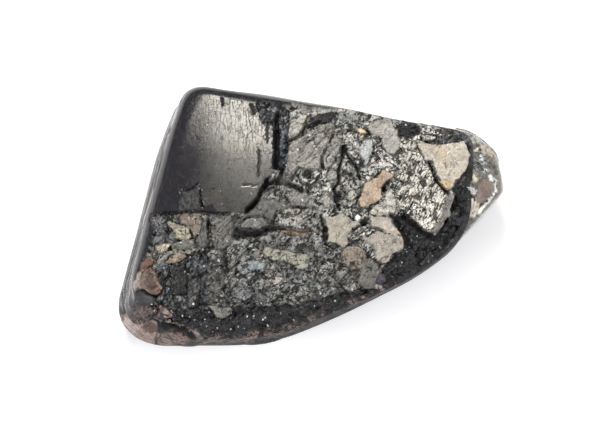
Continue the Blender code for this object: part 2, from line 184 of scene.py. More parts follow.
# Every part of the face that looks different, as the camera sees it: colour, how bright it is,
# kind, how far below the face it lies, and its outline. A later one lies over an earlier one.
PATCHES = {
    "ground": ("grey", 3.45, "rubble", 0.25, [(-15.4, 0.2), (-7, 0.2), (-4.6, 2.5), (-3.4, 5), (-3.4, 9),
        (-5.2, 11.2), (2, 10.9), (11, 9.3), (16.5, 7.9), (17.3, 3), (16.5, -0.7), (12.5, -6), (8.5, -7.6),
        (0, -11), (-7, -12.9), (-14.3, -11.2), (-15.8, -8.5), (-16.4, -4)]),
    "ground_middle": ("beige_grey", 1.65, "rubble", 0.25, [(-1.8, 11.2), (3, 10.7), (9, 9.7), (10.4, 7.5),
        (9.6, 3.5), (9, -0.1), (6.2, -0.5), (3.5, -0.1), (0.8, 0.1), (-2.5, 0.1), (-5.2, 2.3), (-2.6, 4.3),
        (-2.1, 7.5), (-2.6, 9.3)]),
    "ground_near": ("grey", 1.5, "rubble", 0.25, [(-7.2, 0.1), (-4.8, 2.7), (-1, 3.1), (1.2, 1), (1.8, -3),
        (5, -2.5), (6.2, -4.7), (5, -7.7), (2.5, -8.5), (-1, -9.1), (-7, -9.3), (-10.5, -9.3), (-11, -3.5),
        (-10.2, 0.2)]),
    "ground_left": ("green_grey", 1.05, "rubble_dark", 0.2, [(-15.4, 0.2), (-10.4, 0.3), (-10.2, -3.5),
        (-14.8, -4.7), (-16.4, -4.1)]),
    "ground_corner": ("dark_grey", 3.3, "rubble_dark", 0.2, [(-15.4, -4.7), (-10.4, -3.3), (-9.8, -9.3),
        (-13.8, -10.1), (-15.8, -8.5)]),
    "black_near": ("body", 1.2, "black", 0.12, [(-14.5, -9.5), (-11, -9.3), (-6, -9.1), (-1, -8.9),
        (3, -7.7), (6.2, -7.5), (9, -6.9), (9, -7.7), (1, -11.1), (-2.5, -12.3), (-7, -13.1),
        (-11.5, -12.5), (-14.2, -11.1)]),
    "black_right": ("body", 1.2, "black", 0.2, [(8.1, 0), (9.7, 0.2), (10.9, -0.9), (12.1, -1.9),
        (13.2, -1.1), (14.2, 0.3), (14.6, 1.7), (14.2, 2.6), (15.1, 3.8), (15.8, 4.7), (16.1, 5.7),
        (15.6, 7.2), (16.8, 8.2), (18.4, 4.1), (18, -0.7), (15.4, -4.3), (12.6, -7.6), (9, -8.7),
        (7.4, -8.3), (7, -5.7), (7.8, -4.5), (9.5, -3.5), (9.2, -2.1)]),
    "black_far_left": ("dark_grey", 4.5, "rubble_dark", 0.45, [(-5.4, 11.1), (-4.8, 11.6), (-3.4, 11.3),
        (-2.2, 10.9), (-2.1, 9.5), (-2.3, 8.7), (-3, 8.7), (-4.6, 9), (-5, 9.9)]),
    "trough_slope": ("blue_dark", 3.15, "black", 0.5, [(-3.2, 8.9), (-2.2, 8.8), (-2.15, 7.3), (-2.3, 5.9),
        (-2.7, 4.5), (-3.4, 4.6), (-3.6, 6.5)]),
    "black_middle": ("grey", 2.05, "rubble", 0.45, [(3.3, 6.8), (4.2, 5.9), (5.1, 4.3), (5.3, 2.7),
        (4.7, 0.8), (3.5, 0.8), (2.5, 1.7), (2.1, 2.9), (2.7, 4.5), (3.1, 5.7)]),
    "black_glitter": ("body", 1.2, "glitter", 0.25, [(8.7, 9.4), (9.4, 9.6), (10.3, 9.6), (11.1, 9),
        (10.9, 8.2), (9.9, 7.9), (9, 8.1)]),
    "black_under_glitter": ("grey", 4.05, "mosaic", 0.15, [(8.6, 8.1), (9.2, 7.8), (10.2, 7.9), (10.4, 7.4),
        (9.5, 6.8), (9, 6.8)]),
    "black_far_edge": ("dark_grey", 2.7, "black", 0.15, [(11.1, 8.3), (12.2, 8.5), (13.5, 8.1), (15.2, 8.3),
        (16, 7.9), (15.8, 7.3), (14.6, 7.2), (12.6, 7), (11.4, 7.2)]),
    "black_left_crumbs": ("dark_grey", 4.5, "glitter", 0.3, [(-16, 0), (-14.5, 0.1), (-13.8, -0.9),
        (-13.4, -2.5), (-14.6, -2.85), (-16, -2.8)]),
    "pane": ("satin", 1, "pane", 0, [(-15, 0), (-13.4, 6.5), (-12, 11.7), (-10.7, 12), (-9.5, 12.05),
        (-8.65, 11.9), (-6.3, 11.55), (-5.7, 11.2), (-5.4, 10.25), (-4.9, 9.7), (-4.6, 9), (-3.74, 9),
        (-3.72, 6.5), (-3.74, 4.8), (-3.95, 4.65), (-4.8, 4.4), (-4.75, 3.4), (-4.9, 2.5), (-5.15, 1.7),
        (-5.85, 0.85), (-6.7, 0.3), (-7.25, 0.2), (-9.4, 0.4), (-9.75, 1.2), (-10.65, 1), (-10.95, 2.2),
        (-11.2, 3.2), (-12.2, 2.5), (-12.9, 2.4), (-13.4, 0.3), (-15, 0.2)]),
    "dim_plate": ("dark_grey", 0.5, "striped", 0.05, [(-12.8, 2.3), (-12.2, 2.4), (-11.3, 3.1),
        (-11.05, 2.2), (-10.9, 0.6), (-12, 0.45), (-13, 0.45)]),
    "plate_a": ("beige", 1, "speckled", 0, [(-2.13, 9.3), (-1.8, 9.9), (-1.4, 10.15), (-0.23, 10.2),
        (-0.1, 9.6), (-0.5, 9.1), (-0.8, 8.5), (-0.94, 7.9), (-2.06, 7.5), (-2.25, 8.4)]),
    "plate_b": ("beige", 0.6, "speckled", 0, [(-2.1, 7.15), (-0.8, 7.9), (0.2, 8.6), (1.1, 9.05), (2, 9.3),
        (2.5, 9.1), (2.3, 8.2), (1.8, 7.2), (1.3, 6.3), (1.1, 5.7), (0.95, 4.6), (-0.2, 4.45), (-1.1, 4.8),
        (-2.1, 4.05), (-2.65, 4.3), (-2.5, 5.3), (-2.2, 6.1)]),
    "far_grey": ("beige_grey", 1, "feldspar", 0.05, [(5.6, 8.8), (6, 9.15), (6.6, 9.4), (7.7, 9.8),
        (8.1, 9.6), (8.26, 9.1), (8.8, 8.2), (9, 7.3), (9, 6.7), (8.26, 6), (7.6, 6.4), (7.2, 6.9),
        (7.1, 7.7), (6.3, 8.15)]),
    "translucent_far": ("quartz", 0.75, "quartz", 0.1, [(2.8, 10.4), (3.5, 10.5), (4.3, 10.1), (5, 10.2),
        (5.1, 9.6), (4.2, 9.4), (3.4, 9.5), (2.8, 9.8)]),
    "orange_grain": ("orange", 1.6, "feldspar", 0.1, [(4.75, 8.6), (5.1, 8.85), (5.6, 8.6), (5.75, 8.35),
        (5.1, 8.15)]),
    "white_quartz": ("quartz", 1.2, "quartz", 0, [(5, 6.9), (5.3, 7.6), (6.16, 7.7), (6.4, 7.3),
        (6.37, 6.8), (6, 5.5), (5.65, 4.64), (5.3, 5.5), (4.96, 6.3)]),
    "small_beige": ("beige_grey", 1.05, "speckled", 0.1, [(4.2, 7.2), (4.7, 7.5), (5, 7.1), (4.9, 6.3),
        (4.5, 6.15)]),
    "wedge": ("grey", 2.15, "grain", 0.3, [(3.1, 6.3), (3.4, 5.7), (3.7, 4.9), (3.5, 4.5), (3, 5.2)]),
    "island_right": ("grey", 1.4, "grain", 0.25, [(3.7, 5.2), (4.2, 4.9), (4.1, 4.1), (3.7, 4.3)]),
    "island_b2": ("beige_grey", 0.85, "speckled", 0.1, [(1.7, 4.2), (2.3, 4.64), (2.8, 4.3), (2.7, 3.6),
        (2.1, 3.34), (1.7, 3.6)]),
    "island_b3": ("beige_grey", 0.8, "speckled", 0.1, [(1, 1.6), (1.6, 2.35), (2.2, 2.1), (2.45, 1.4),
        (2, 0.7), (1.4, 0.9)]),
    "island_green": ("green_grey", 1.6, "grain", 0.2, [(3.8, 2.5), (4.4, 2.7), (4.65, 2.1), (4.3, 1.55),
        (3.8, 1.7)]),
    "peach": ("peach", 0.75, "feldspar", 0.05, [(6.86, 3.8), (7.4, 4.5), (8.2, 4.5), (8.3, 3.8), (7.8, 3.4),
        (7.1, 2.7), (7.3, 1.8), (6.6, 1.3), (5.7, 0.85), (4.96, 0.85), (4.8, 1.6), (5.3, 2.3), (5.45, 3.2),
        (6.16, 3.5)]),
    "green_patch": ("green_grey", 1.4, "grain", 0.1, [(8, 2.7), (8.5, 2.1), (8.5, 0.4), (8, -0.1),
        (6.86, -0.1), (6, 0.15), (6.2, 0.9), (7.3, 1.4), (7.5, 2.2)]),
    "star": ("tan", 0.75, "feldspar", 0, [(1.4, -0.1), (2.3, -0.05), (3.1, 0.3), (3.6, 0), (4.2, -0.45),
        (5.2, -0.9), (4.2, -1.4), (3.85, -1.95), (3.9, -2.8), (3.35, -3.4), (2.8, -3.1), (1.8, -2.65),
        (1.7, -1.5)]),
    "prism": ("quartz", 2.9, "striped", 0.1, [(3.9, 0.3), (4.4, 0.6), (5.1, -0.2), (4.7, -0.6),
        (4.2, -0.2)]),
    "near_peach_upper": ("peach_grey", 0.85, "feldspar", 0.05, [(6.1, 0), (6.9, -0.15), (7.7, -0.3),
        (8.26, -0.8), (8.8, -1.3), (9.2, -2.1), (8.2, -2), (7.2, -1.6), (6.1, -1.2)]),
    "near_peach": ("peach_grey", 0.7, "feldspar", 0, [(5.4, -2.4), (6.2, -1.8), (7.2, -1.65), (8.2, -2),
        (9.2, -2.15), (9.5, -3.4), (8.9, -3.7), (8.2, -3.9), (7.9, -4.5), (7.2, -4.9), (6.8, -4.5),
        (6.3, -3.2)]),
    "right_tan": ("tan", 1.05, "feldspar", 0, [(10.5, 7.2), (11.5, 7.24), (12.5, 7), (13.6, 7.15),
        (14.7, 7.3), (15.4, 7.45), (15.7, 6.6), (16.1, 5.9), (15.75, 4.7), (15.1, 3.8), (14.6, 3.5),
        (14.2, 2.7), (13.7, 2.8), (13.1, 3.6), (12.6, 4.5), (12.2, 5.4), (11.6, 5.5), (11.1, 6.3)]),
    "orange_tip": ("orange", 0.8, "feldspar", 0.05, [(12.7, 3.8), (13.3, 3.4), (13.9, 3.6), (14.2, 3.3),
        (14.05, 2.65), (13.6, 2.6), (13.1, 3.1)]),
    "soft_strip": ("beige", 1.5, "satin", 0.1, [(11.1, 8), (12, 8.15), (12.75, 7.9), (12.3, 7.55),
        (11.3, 7.5)]),
    "big_plate": ("beige", 1.35, "striated", 0, [(8.9, 6.5), (9.5, 6.7), (10.3, 6.4), (11.1, 6.2),
        (11.6, 5.2), (12.1, 4.6), (12.5, 3.4), (13.45, 2.4), (14, 2.1), (14.4, 1.6), (13.9, 0.3),
        (13.2, -1), (12.4, -1.9), (12.05, -1.8), (10.9, -0.8), (9.7, 0.15), (8.7, 0.7), (8.5, 1.8),
        (8.8, 2.4), (9.5, 3.2), (8.4, 3.9), (9.1, 4.7)]),
    # The bright zone of the big plate: its raised tone is a painted highlight of the plate's gloss
    "plate_highlight": ("beige", 1.5, "striated", 0, [(10, 1.6), (11.2, 2.1), (12.4, 1.7), (13, 0.7),
        (12.6, -0.6), (11.9, -1.7), (11.3, -1.2), (10.4, 0)]),
    "satin_strip": ("grey", 1.05, "satin", 0.05, [(13.6, 1.8), (14.5, 2.2), (14.3, 0.9), (13.7, -0.5),
        (12.8, -1.7), (12.3, -2.1), (12.2, -1.6), (13.1, -0.4)]),
    "green_right_of_peach": ("green_grey", 1.1, "grain", 0.15, [(7.8, -4.1), (7.1, -4.9), (7.1, -4.3)]),
    "low_quartz": ("taupe", 0.8, "quartz", 0.05, [(3, -3.9), (3.5, -3.3), (4.2, -3.1), (5, -3.2),
        (5.6, -3.9), (5.6, -4.9), (4.9, -5.4), (4.2, -5.55), (3.4, -5.1)]),
    "low_green": ("green_grey", 0.45, "grain", 0.1, [(5.2, -4.3), (6, -4.2), (6.7, -4.7), (7.1, -5.6),
        (6.8, -6.9), (6, -7.6), (5.2, -7.5), (4.8, -6.5), (5, -5.3)]),
    "purple_edge": ("purple", 1.65, "grain", 0.2, [(6.9, -5.8), (7.5, -5.9), (7.6, -6.6), (7.1, -7.2),
        (6.7, -6.9)]),
    "taupe": ("taupe", 0.8, "quartz", 0, [(-13.1, -0.3), (-12.6, 0.25), (-11.2, 0.24), (-10.9, -0.6),
        (-11, -1.6), (-11.6, -2.05), (-12.1, -1.5), (-12.6, -1.1), (-13.14, -0.9)]),
    "cream_grain": ("cream", 0.75, "grain", 0, [(-14.3, -0.7), (-13.8, -0.6), (-13.4, -0.9), (-12.3, -1.25),
        (-11.9, -2), (-12.3, -2.5), (-13, -2.6), (-13.5, -2.3), (-13.7, -1.6)]),
    "cream_low": ("cream", 1.2, "grain", 0.05, [(-15.5, -3.1), (-14.8, -2.8), (-14, -2.85), (-14.1, -3.4),
        (-14.6, -3.85), (-15.3, -3.6)]),
    "green_quartz": ("green_grey", 0.4, "quartz", 0.1, [(-14, -2.7), (-13, -2.7), (-12.3, -2.3),
        (-11.6, -2.3), (-11.7, -3.3), (-13, -3.5), (-14, -3.5)]),
    "green_vein": ("green_grey", 0.75, "quartz", 0.05, [(-15.9, -5.3), (-15.2, -4.4), (-14.3, -3.65),
        (-13, -3.55), (-11.7, -3.3), (-11, -3.1), (-10.9, -3.4), (-12, -3.75), (-14, -4), (-14.8, -4.6),
        (-15.5, -5.5)]),
    "peach_lens": ("peach", 0.55, "quartz", 0, [(-14.6, -4.75), (-14, -4.1), (-13.2, -3.9), (-12.4, -3.9),
        (-12.6, -4.4), (-13.4, -4.7), (-14.2, -4.9)]),
    "brown_clear": ("brown", 0.8, "clear", 0, [(-16.7, -4.2), (-15.8, -4.2), (-15.5, -4.4), (-15.8, -4.7),
        (-15.8, -5), (-16.2, -5.3), (-16.7, -5.6), (-16.9, -5.9), (-17.1, -5.5), (-16.9, -4.9)]),
    "pale_side": ("mauve", 0.9, "clear", 0, [(-17.8, -6.9), (-17.4, -6.2), (-17.1, -5.6), (-16.9, -5.9),
        (-17.1, -6.5), (-17.2, -7.4), (-17.4, -7.6), (-17.7, -7.4)]),
    "red_brown": ("tan_brown", 0.7, "clear", -0.05, [(-16.4, -5.4), (-15.9, -5.3), (-15.4, -5.6),
        (-15.2, -6.2), (-14.9, -6.8), (-14.7, -7.4), (-15, -7.8), (-15.5, -8.1), (-15.9, -7.9),
        (-16.7, -7.5), (-17.1, -7.4), (-17.2, -6.8), (-16.9, -6.1), (-16.7, -5.6)]),
    "red_brown_heart": ("brown", 0.35, "feldspar", -0.05, [(-16.2, -5.8), (-15.6, -5.9), (-15.5, -6.6),
        (-15.3, -7.2), (-15.8, -7.5), (-16.3, -7.2), (-16.6, -6.6)]),
    "purple_black": ("purple", 0.3, "feldspar", 0.1, [(-17.5, -7.7), (-16.9, -7.6), (-16.4, -7.8),
        (-15.6, -8.1), (-15.6, -8.6), (-15.8, -9), (-16.5, -9.1), (-17.4, -8.8)]),
    "fibrous": ("pink_brown", 0.42, "streaked", 0, [(-17.5, -8.9), (-16.4, -9.1), (-15.5, -9.3),
        (-15.2, -9.6), (-15.4, -10), (-15.8, -10.3), (-16.7, -10.4), (-17.4, -10.3), (-17.6, -9.6)]),
    "striated_corner": ("pink_brown", 0.95, "ribbed", 0, [(-15.2, -8.9), (-14.7, -9.1), (-13.9, -9.7),
        (-13.7, -10.1), (-14.1, -10.4), (-14.7, -10.4), (-15.4, -10.1), (-15.2, -9.6)]),
    "bulb": ("pink_brown", 1.3, "clear", -0.05, [(-19.3, -9.8), (-18.1, -9.9), (-17.5, -10.3),
        (-16.1, -10.4), (-15.5, -10.6), (-15.2, -11.1), (-15.2, -11.9), (-15.6, -13), (-16.9, -12.9),
        (-18, -12.4), (-18.9, -11.6), (-19.4, -10.6)]),
    "bulb_pale": ("mauve", 1.25, "clear", -0.05, [(-18.8, -10.2), (-17.9, -10.4), (-17, -10.8),
        (-16.9, -11.5), (-17.5, -12), (-18.4, -11.4)]),
    "bulb_brown": ("red_brown", 0.7, "clear", -0.05, [(-16.3, -10.6), (-15.6, -10.7), (-15.2, -11.2),
        (-15.3, -11.7), (-15.9, -11.9), (-16.5, -11.3)]),
    "corner_notch": ("purple", 0.4, "clear", 0.1, [(-20, -9), (-18.9, -9.3), (-18.5, -9.9), (-19, -10.1),
        (-20, -10.2)]),
    "corner_dark": ("body", 0.45, "black", 0.2, [(-15.2, -10.8), (-14.4, -10.8), (-12.8, -11.2),
        (-11.9, -11.7), (-11.2, -12.1), (-11.5, -12.4), (-12.7, -12), (-13.9, -11.7), (-14.8, -11.7),
        (-15.2, -11.8)]),
    "mauve_band": ("mauve", 0.75, "ribbed", 0, [(-15.2, -10.5), (-14.1, -10.6), (-12.9, -11),
        (-12.1, -11.5), (-10.2, -12.5), (-10.2, -12.7), (-11.4, -12.2), (-12.7, -11.3), (-14.3, -10.9)]),
    "near_lens": ("pink_brown", 0.9, "ribbed", 0, [(-14.7, -11.8), (-13.9, -11.7), (-12.7, -11.9),
        (-12.2, -12.1), (-12.4, -13.4), (-13.4, -13.4), (-14.4, -13.3), (-15.4, -13.2), (-15.2, -12.4)]),
    "near_rim": ("pink_brown", 0.75, "seam", 0, [(-11.2, -12.2), (-9.5, -12.2), (-7, -12.05), (-4.8, -11.7),
        (-2.8, -11.2), (-0.5, -10.5), (1.5, -9.6), (1.8, -10.2), (-0.5, -11.3), (-2.6, -12.05),
        (-4.8, -12.5), (-7, -12.8), (-10.5, -12.95), (-11.5, -12.7)]),
    "near_rim_right": ("pink_brown", 1.2, "seam", 0, [(3.8, -8.8), (5.2, -8.2), (6.8, -7.45), (8.9, -6.8),
        (9.1, -7.3), (7, -8), (5, -8.9), (4, -9.3)]),
    "green_beige": ("green_beige", 0.95, "grain", 0.05, [(-4.9, -3.5), (-4.5, -3.2), (-3.5, -3.25),
        (-2, -3.6), (-0.7, -3.8), (0.05, -4.1), (-0.1, -5.2), (-0.7, -5.5), (-1.4, -5.5), (-1.9, -4.75),
        (-2.7, -4.6), (-3.6, -4.55), (-4.6, -4.25)]),
    "leaf": ("grey", 0.9, "speckled", 0, [(-7.1, -1.2), (-6.6, -0.6), (-6, -0.25), (-4.9, -0.2),
        (-4.2, -0.6), (-3.74, -1), (-4.6, -1.15), (-5.4, -1.5), (-6.3, -1.3)]),
    "blue_cluster": ("blue_grey", 1.3, "grain", 0.1, [(-7.25, -4.9), (-6.3, -4.4), (-5.2, -4.5),
        (-4.44, -4.9), (-4.6, -5.6), (-5.5, -5.5), (-6.6, -5.9), (-7.2, -5.6)]),
    "mosaic": ("beige_grey", 1.2, "mosaic", 0.1, [(-3.3, 0.2), (-2.2, 0.7), (-1, 0.6), (-0.1, 0),
        (-0.2, -1.1), (-1, -1.4), (-2, -1.1), (-3.1, -1)]),
    "rust_a": ("rust", 2.1, "grain", 0.3, [(-2.9, -1.3), (-2, -1.3), (-1, -1.6), (0.05, -1.45),
        (0.05, -1.85), (-1, -2), (-2.2, -1.8), (-2.9, -1.65)]),
    "pale_green": ("green_grey", 0.65, "grain", 0.05, [(-10.3, -8.95), (-9.35, -9), (-7.8, -9.35),
        (-8, -10), (-8.9, -10.4), (-9.6, -9.9)]),
    "square_a": ("dark_grey", 3.95, "streaked", 0.05, [(-8.1, -7.4), (-7, -7.2), (-5.85, -7.4),
        (-5.9, -8.3), (-7, -8.5), (-8, -8.2)]),
    "square_b": ("dark_grey", 1.95, "streaked", 0.15, [(-5.7, -7.5), (-4.8, -7.6), (-4.2, -8.3),
        (-4.8, -8.8), (-5.6, -8.6)]),
    "strip_a": ("grey", 0.35, "streaked", 0, [(-12.1, -6.4), (-11.2, -6.2), (-11.2, -7.8), (-11.5, -9.2),
        (-12.2, -9.3), (-12.3, -7.7)]),
    "strip_b": ("grey", 0.6, "streaked", 0.05, [(-10.2, -5.3), (-9.1, -5), (-8.5, -5.6), (-8.7, -7.1),
        (-9.4, -8.5), (-10.3, -8.4), (-10.5, -6.9)]),
    "strip_c": ("dark_grey", 0.3, "streaked", 0.1, [(-13.9, -5.3), (-12.6, -4.9), (-12.4, -6.5),
        (-12.7, -8.1), (-13.8, -7.9), (-14.1, -6.5)]),
    "plate_low": ("grey", 0.7, "speckled", 0, [(-9.9, -0.2), (-8.8, 0.05), (-7.8, -0.1), (-7.6, -1.3),
        (-7.8, -2.5), (-8.4, -3.4), (-9.6, -3.3), (-10, -2.1)]),
    "slab_low_left": ("dark_grey", 1.8, "striped", 0.1, [(-11, -0.7), (-10.3, -0.2), (-10.25, -1.7),
        (-10.4, -3.2), (-11.1, -3.3), (-11.5, -2.3), (-10.9, -1.7)]),
    "grey_upper_mid": ("grey", 0.6, "grain", 0.05, [(-6.5, 0.2), (-5.6, 0.8), (-4.8, 1.6), (-4, 1.6),
        (-2.6, 1.3), (-2, 0.8), (-3.3, 0.3), (-3.8, -0.5), (-4.8, 0), (-6, -0.05), (-7, -0.6)]),
    "mid_light": ("beige_grey", 0.6, "grain", 0.1, [(-2.5, 1.9), (-1.4, 2.7), (-0.4, 2.5), (0, 1.6),
        (-0.7, 0.8), (-1.9, 0.9)]),
    "right_of_b": ("grey", 1.35, "grain", 0.1, [(2.4, 8.1), (3, 7.7), (3.1, 6.9), (2.4, 5.7), (2, 4.9),
        (1.3, 4.7), (1.3, 5.7), (1.9, 6.9)]),
    "below_a_right": ("dark_grey", 0.35, "streaked", 0.2, [(-0.7, 8.7), (-0.1, 9.5), (0.8, 10.3),
        (2.2, 10.8), (2.6, 10.3), (2, 9.4), (0.9, 9.1)]),
    "under_far": ("grey", 2.9, "mosaic", 0.2, [(6.4, 7.9), (7, 7.6), (7.2, 6.7), (8.2, 5.9), (8.9, 6.5),
        (9.4, 5.5), (9, 4.7), (8.3, 4), (7.4, 4.7), (6.2, 4.7), (5.8, 4.9), (6.3, 6.3)]),
    "left_of_right_tan": ("beige", 1.55, "mosaic", 0.15, [(9.2, 7.6), (10.4, 7.8), (10.6, 7.2), (11.1, 6.3),
        (9.4, 6.7)]),
}

# Open cracks, as the camera sees them: points along it, width and depth. The flanks reach from one
# share of the width to another
CRACK_FLANK = (0.2, 0.7)
CRACKS = {
    "trough_slot": ([(-3.3, 10.3), (-3.37, 9), (-3.32, 6.5), (-3.45, 4.9)], 0.5, 1),
    "trough_foot": ([(-2.7, 4.7), (-2.9, 3.9), (-4.2, 3.3), (-4.85, 2.5), (-5.15, 1.6),
        (-6.3, 0.45)], 0.42, 0.7),
    "black_wedge": ([(-4.2, 3.3), (-2.8, 3.45), (-1.8, 3.1), (-0.9, 2.6)], 0.6, 0.8),
    "pane_top": ([(-8.8, 11.7), (-8.7, 10.9)], 0.14, 0.15),
    "pane_far": ([(-5.9, 11.1), (-5.75, 10.6), (-5.55, 10.1)], 0.2, 0.2),
    "pane_side": ([(-5.14, 6.5), (-5.14, 3.9)], 0.14, 0.15),
    "pane_right": ([(-4.4, 9.7), (-4.3, 8.7), (-4.2, 7.2)], 0.14, 0.15),
    "pane_cross": ([(-6.8, 2.9), (-5.2, 3)], 0.1, 0.08),
    "pane_step": ([(-11.04, 2.4), (-10.9, 1.6), (-10.7, 0.9)], 0.22, 0.3),
    "pane_foot": ([(-15.4, 0.2), (-13, 0.3), (-9.8, 0.3), (-7, 0.15)], 0.12, 0.15),
    "pane_left": ([(-12.9, 2.4), (-12.2, 2.45), (-11.2, 3.2)], 0.16, 0.15),
    "between_plates": ([(-2.2, 7.35), (-1.4, 7.8), (-0.65, 8.5), (0.2, 9), (1, 9.45)], 0.26, 0.4),
    "plate_a_side": ([(-0.8, 8.4), (-0.5, 9.1), (-0.1, 10)], 0.2, 0.35),
    "plate_b_first": ([(-1.2, 6.3), (-0.2, 7.3), (1, 8.3)], 0.12, 0.15),
    "plate_b_second": ([(-0.4, 5.5), (0.4, 6.6), (1.4, 7.9)], 0.12, 0.15),
    "plate_b_third": ([(-1.8, 6.5), (-0.9, 7.2), (-0.1, 7.8)], 0.1, 0.12),
    "lambda_left": ([(3.35, 6.9), (3.15, 5.6), (2.85, 4.3), (2.95, 3.5), (2.4, 2.7)], 0.36, 0.6),
    "lambda_right": ([(3.35, 6.9), (3.9, 5.9), (4.75, 4.8), (5, 3.7)], 0.34, 0.6),
    "middle_low": ([(2.4, 2.7), (2.6, 1.5), (3, 0.7)], 0.4, 0.6),
    "right_slit": ([(12, 5.3), (12.5, 4), (13.1, 2.9), (13.9, 2.1)], 0.3, 0.5),
    "tan_slit": ([(13.55, 5.2), (13.65, 4.7)], 0.14, 0.2),
    "tan_crease": ([(12.1, 6.5), (12.7, 5.5), (13.1, 4.5)], 0.08, 0.08),
    "black_slash": ([(8.1, 0), (8.8, -0.8), (9.4, -1.9), (10.1, -3.1)], 0.5, 0.6),
    "under_plate": ([(8.9, 0.2), (10.1, -0.6), (11.2, -1.5), (12.1, -2.2)], 0.4, 0.5),
    "star_left": ([(1.1, 0.1), (1.4, -1.3), (1.5, -2.8), (2.4, -3.4)], 0.3, 0.5),
    "star_right": ([(4.2, -1.6), (4.8, -1.2), (5.6, -0.9)], 0.25, 0.4),
    "rust_shadow": ([(4.6, -1.9), (5.2, -1.45), (6, -1.15), (7.2, -1.55)], 0.26, 0.3),
    "low_slit": ([(-10.25, 0.2), (-10.2, -1.7), (-10.15, -3.5)], 0.22, 0.3),
    "low_slit_left": ([(-11.2, -5.1), (-11, -7.3), (-11.3, -9.3)], 0.22, 0.3),
    "low_slit_right": ([(-8.4, -4.7), (-8.1, -6.5), (-8, -7.7)], 0.2, 0.25),
    "low_cross": ([(-11.2, -8.9), (-8.2, -8.75), (-4.8, -8.8), (-2.8, -8.5)], 0.2, 0.25),
    "corner_slot": ([(-15.1, -11.2), (-14, -11.2), (-12.6, -11.6)], 0.5, 0.6),
    "under_lens": ([(-17.5, -7.6), (-16.7, -7.55), (-16, -8), (-15.4, -8.2)], 0.24, 0.4),
    "leaf_shadow": ([(-7.4, -1.5), (-6.3, -1.65), (-5.4, -1.75), (-4.6, -1.45), (-3.5, -1.2)], 0.5, 0.75),
    "mosaic_foot": ([(-3.3, -1.2), (-2, -1.4), (-1, -1.7), (0, -1.6)], 0.25, 0.35),
    "quartz_split": ([(6.4, 7.3), (6.3, 6.3), (5.9, 5.1)], 0.14, 0.25),
    "left_grain_split": ([(-13.4, -0.9), (-12.8, -0.7), (-12.4, -1.2)], 0.12, 0.15),
    "fibre_top": ([(-17.5, -8.9), (-16.5, -9.1), (-15.6, -9.1), (-15.2, -9.6)], 0.14, 0.2),
    "bulb_side": ([(-15.2, -10.7), (-15.1, -11.6), (-15.5, -12.4), (-15.3, -13)], 0.2, 0.4),
    "lens_top": ([(-15.1, -11.8), (-13.8, -11.6), (-12.5, -11.9), (-11.5, -12.4)], 0.18, 0.4),
    "notch_line": ([(-19.3, -9.2), (-18.6, -9.9), (-18.8, -10.4)], 0.2, 0.4),
    "fibre_side": ([(-15.5, -9.1), (-15.3, -9.8), (-15.9, -10.4)], 0.16, 0.3),
    "bulb_top": ([(-17.6, -10.3), (-16.7, -10.5), (-15.8, -10.4), (-15.2, -10.7)], 0.22, 0.4),
}

# Broken-out pits: middle, half length, half width, turn in degrees, depth. The flank is a share of
# the half width
PIT_FLANK = 0.5
PITS = {
    "beside_middle": (-0.25, 4.15, 0.85, 0.55, -8, 0.9),
    "peach_pit": (7.45, 2.75, 0.3, 0.38, 20, 0.5),
    "star_pit": (5.4, -0.7, 0.55, 0.4, 20, 0.7),
    "leaf_hollow": (-5.9, -1.75, 1.8, 0.5, 6, 0.5),
    "hollow_left": (-7.4, -2.1, 0.55, 0.6, 0, 0.6),
    "right_of_star": (2.7, 1.9, 0.5, 0.7, 0, 0.4),
    "quartz_foot_pit": (4.3, -4.95, 0.35, 0.25, 30, 0.35),
    "far_pit": (-4.2, 10.3, 0.5, 0.5, 0, 0.3),
}

# How ragged outlines and cracks are: how far they wander, over what length, and the seed
RAGGED = [(0.1, 1.1, 50), (0.09, 0.4, 51), (0.07, 0.17, 52)]
CRACK_WANDER = (0.08, 0.7, 71)

# The rounded edge of a patch: its width and depth, the width of the joint there, how dark that is
# and where it shows: the size of the stretches and their seed
OUTLINE_BEVEL = (0.16, 0.07)
JOINT_WIDTH = 0.09
JOINT_SHADE = 0.6
JOINT_STRETCHES = (0.5, 91)

# Cells of the broken ground, coarse and fine: size, stretch, heading, drop, tilt, joint width
Cells = namedtuple("Cells", "seed size stretch heading drop tilt joint")
COARSE_CELLS = Cells(11, 0.95, 1.5, 38.0, 0.4, 0.7, 0.16)
FINE_CELLS = Cells(29, 0.46, 1.4, 62.0, 0.16, 0.8, 0.1)
COARSE_SHARE = 0.75
CELL_JITTER = 0.85
CELL_TILE = 64
CELL_WARP = (0.18, 0.8)
CELL_JOINT_DEPTH = 0.12
CELL_JOINT_STRETCHES = (0.6, 90)
FINE_JOINT_SHARE = 0.6
NOISE_TILE = 32

# Noise between which a joint fades in, and random numbers between which a crumb turns from dark
# to light, with how dark it can be
JOINT_SHOWN = (-0.1, 0.5)
CRUMB_TONES = (0.2, 0.6)
CRUMB_SHADE = 0.85

# Rounded lumps of grown-in quartz: middle, reach along x, y and z, height. The flank is a share
# of the reach
LUMP_FLANK = 0.7
LUMPS = {
    "long_grain": ((-12.2, -0.6, 13.8), (1.8, 1.0, 2.0), 0.3),
    "cream_grain": ((-14.6, -3.2, 13.3), (1.1, 0.7, 2.0), 0.35),
    "red_brown_grain": ((-15.8, -6.6, 12.9), (1.1, 1.3, 2.0), 0.45),
    "corner_mass": ((-17.6, -9.4, 9.5), (3.2, 2.6, 2.8), 0.6),
    "corner_foot": ((-12.9, -12.2, 8.6), (2.6, 2.0, 2.4), 0.35),
    "near_swell": ((-4.5, -12.2, 7.4), (3.4, 2.0, 2.2), 0.3),
    "plate_back": ((11.4, 1.2, 13.3), (2.4, 2.0, 2.0), 0.25),
}

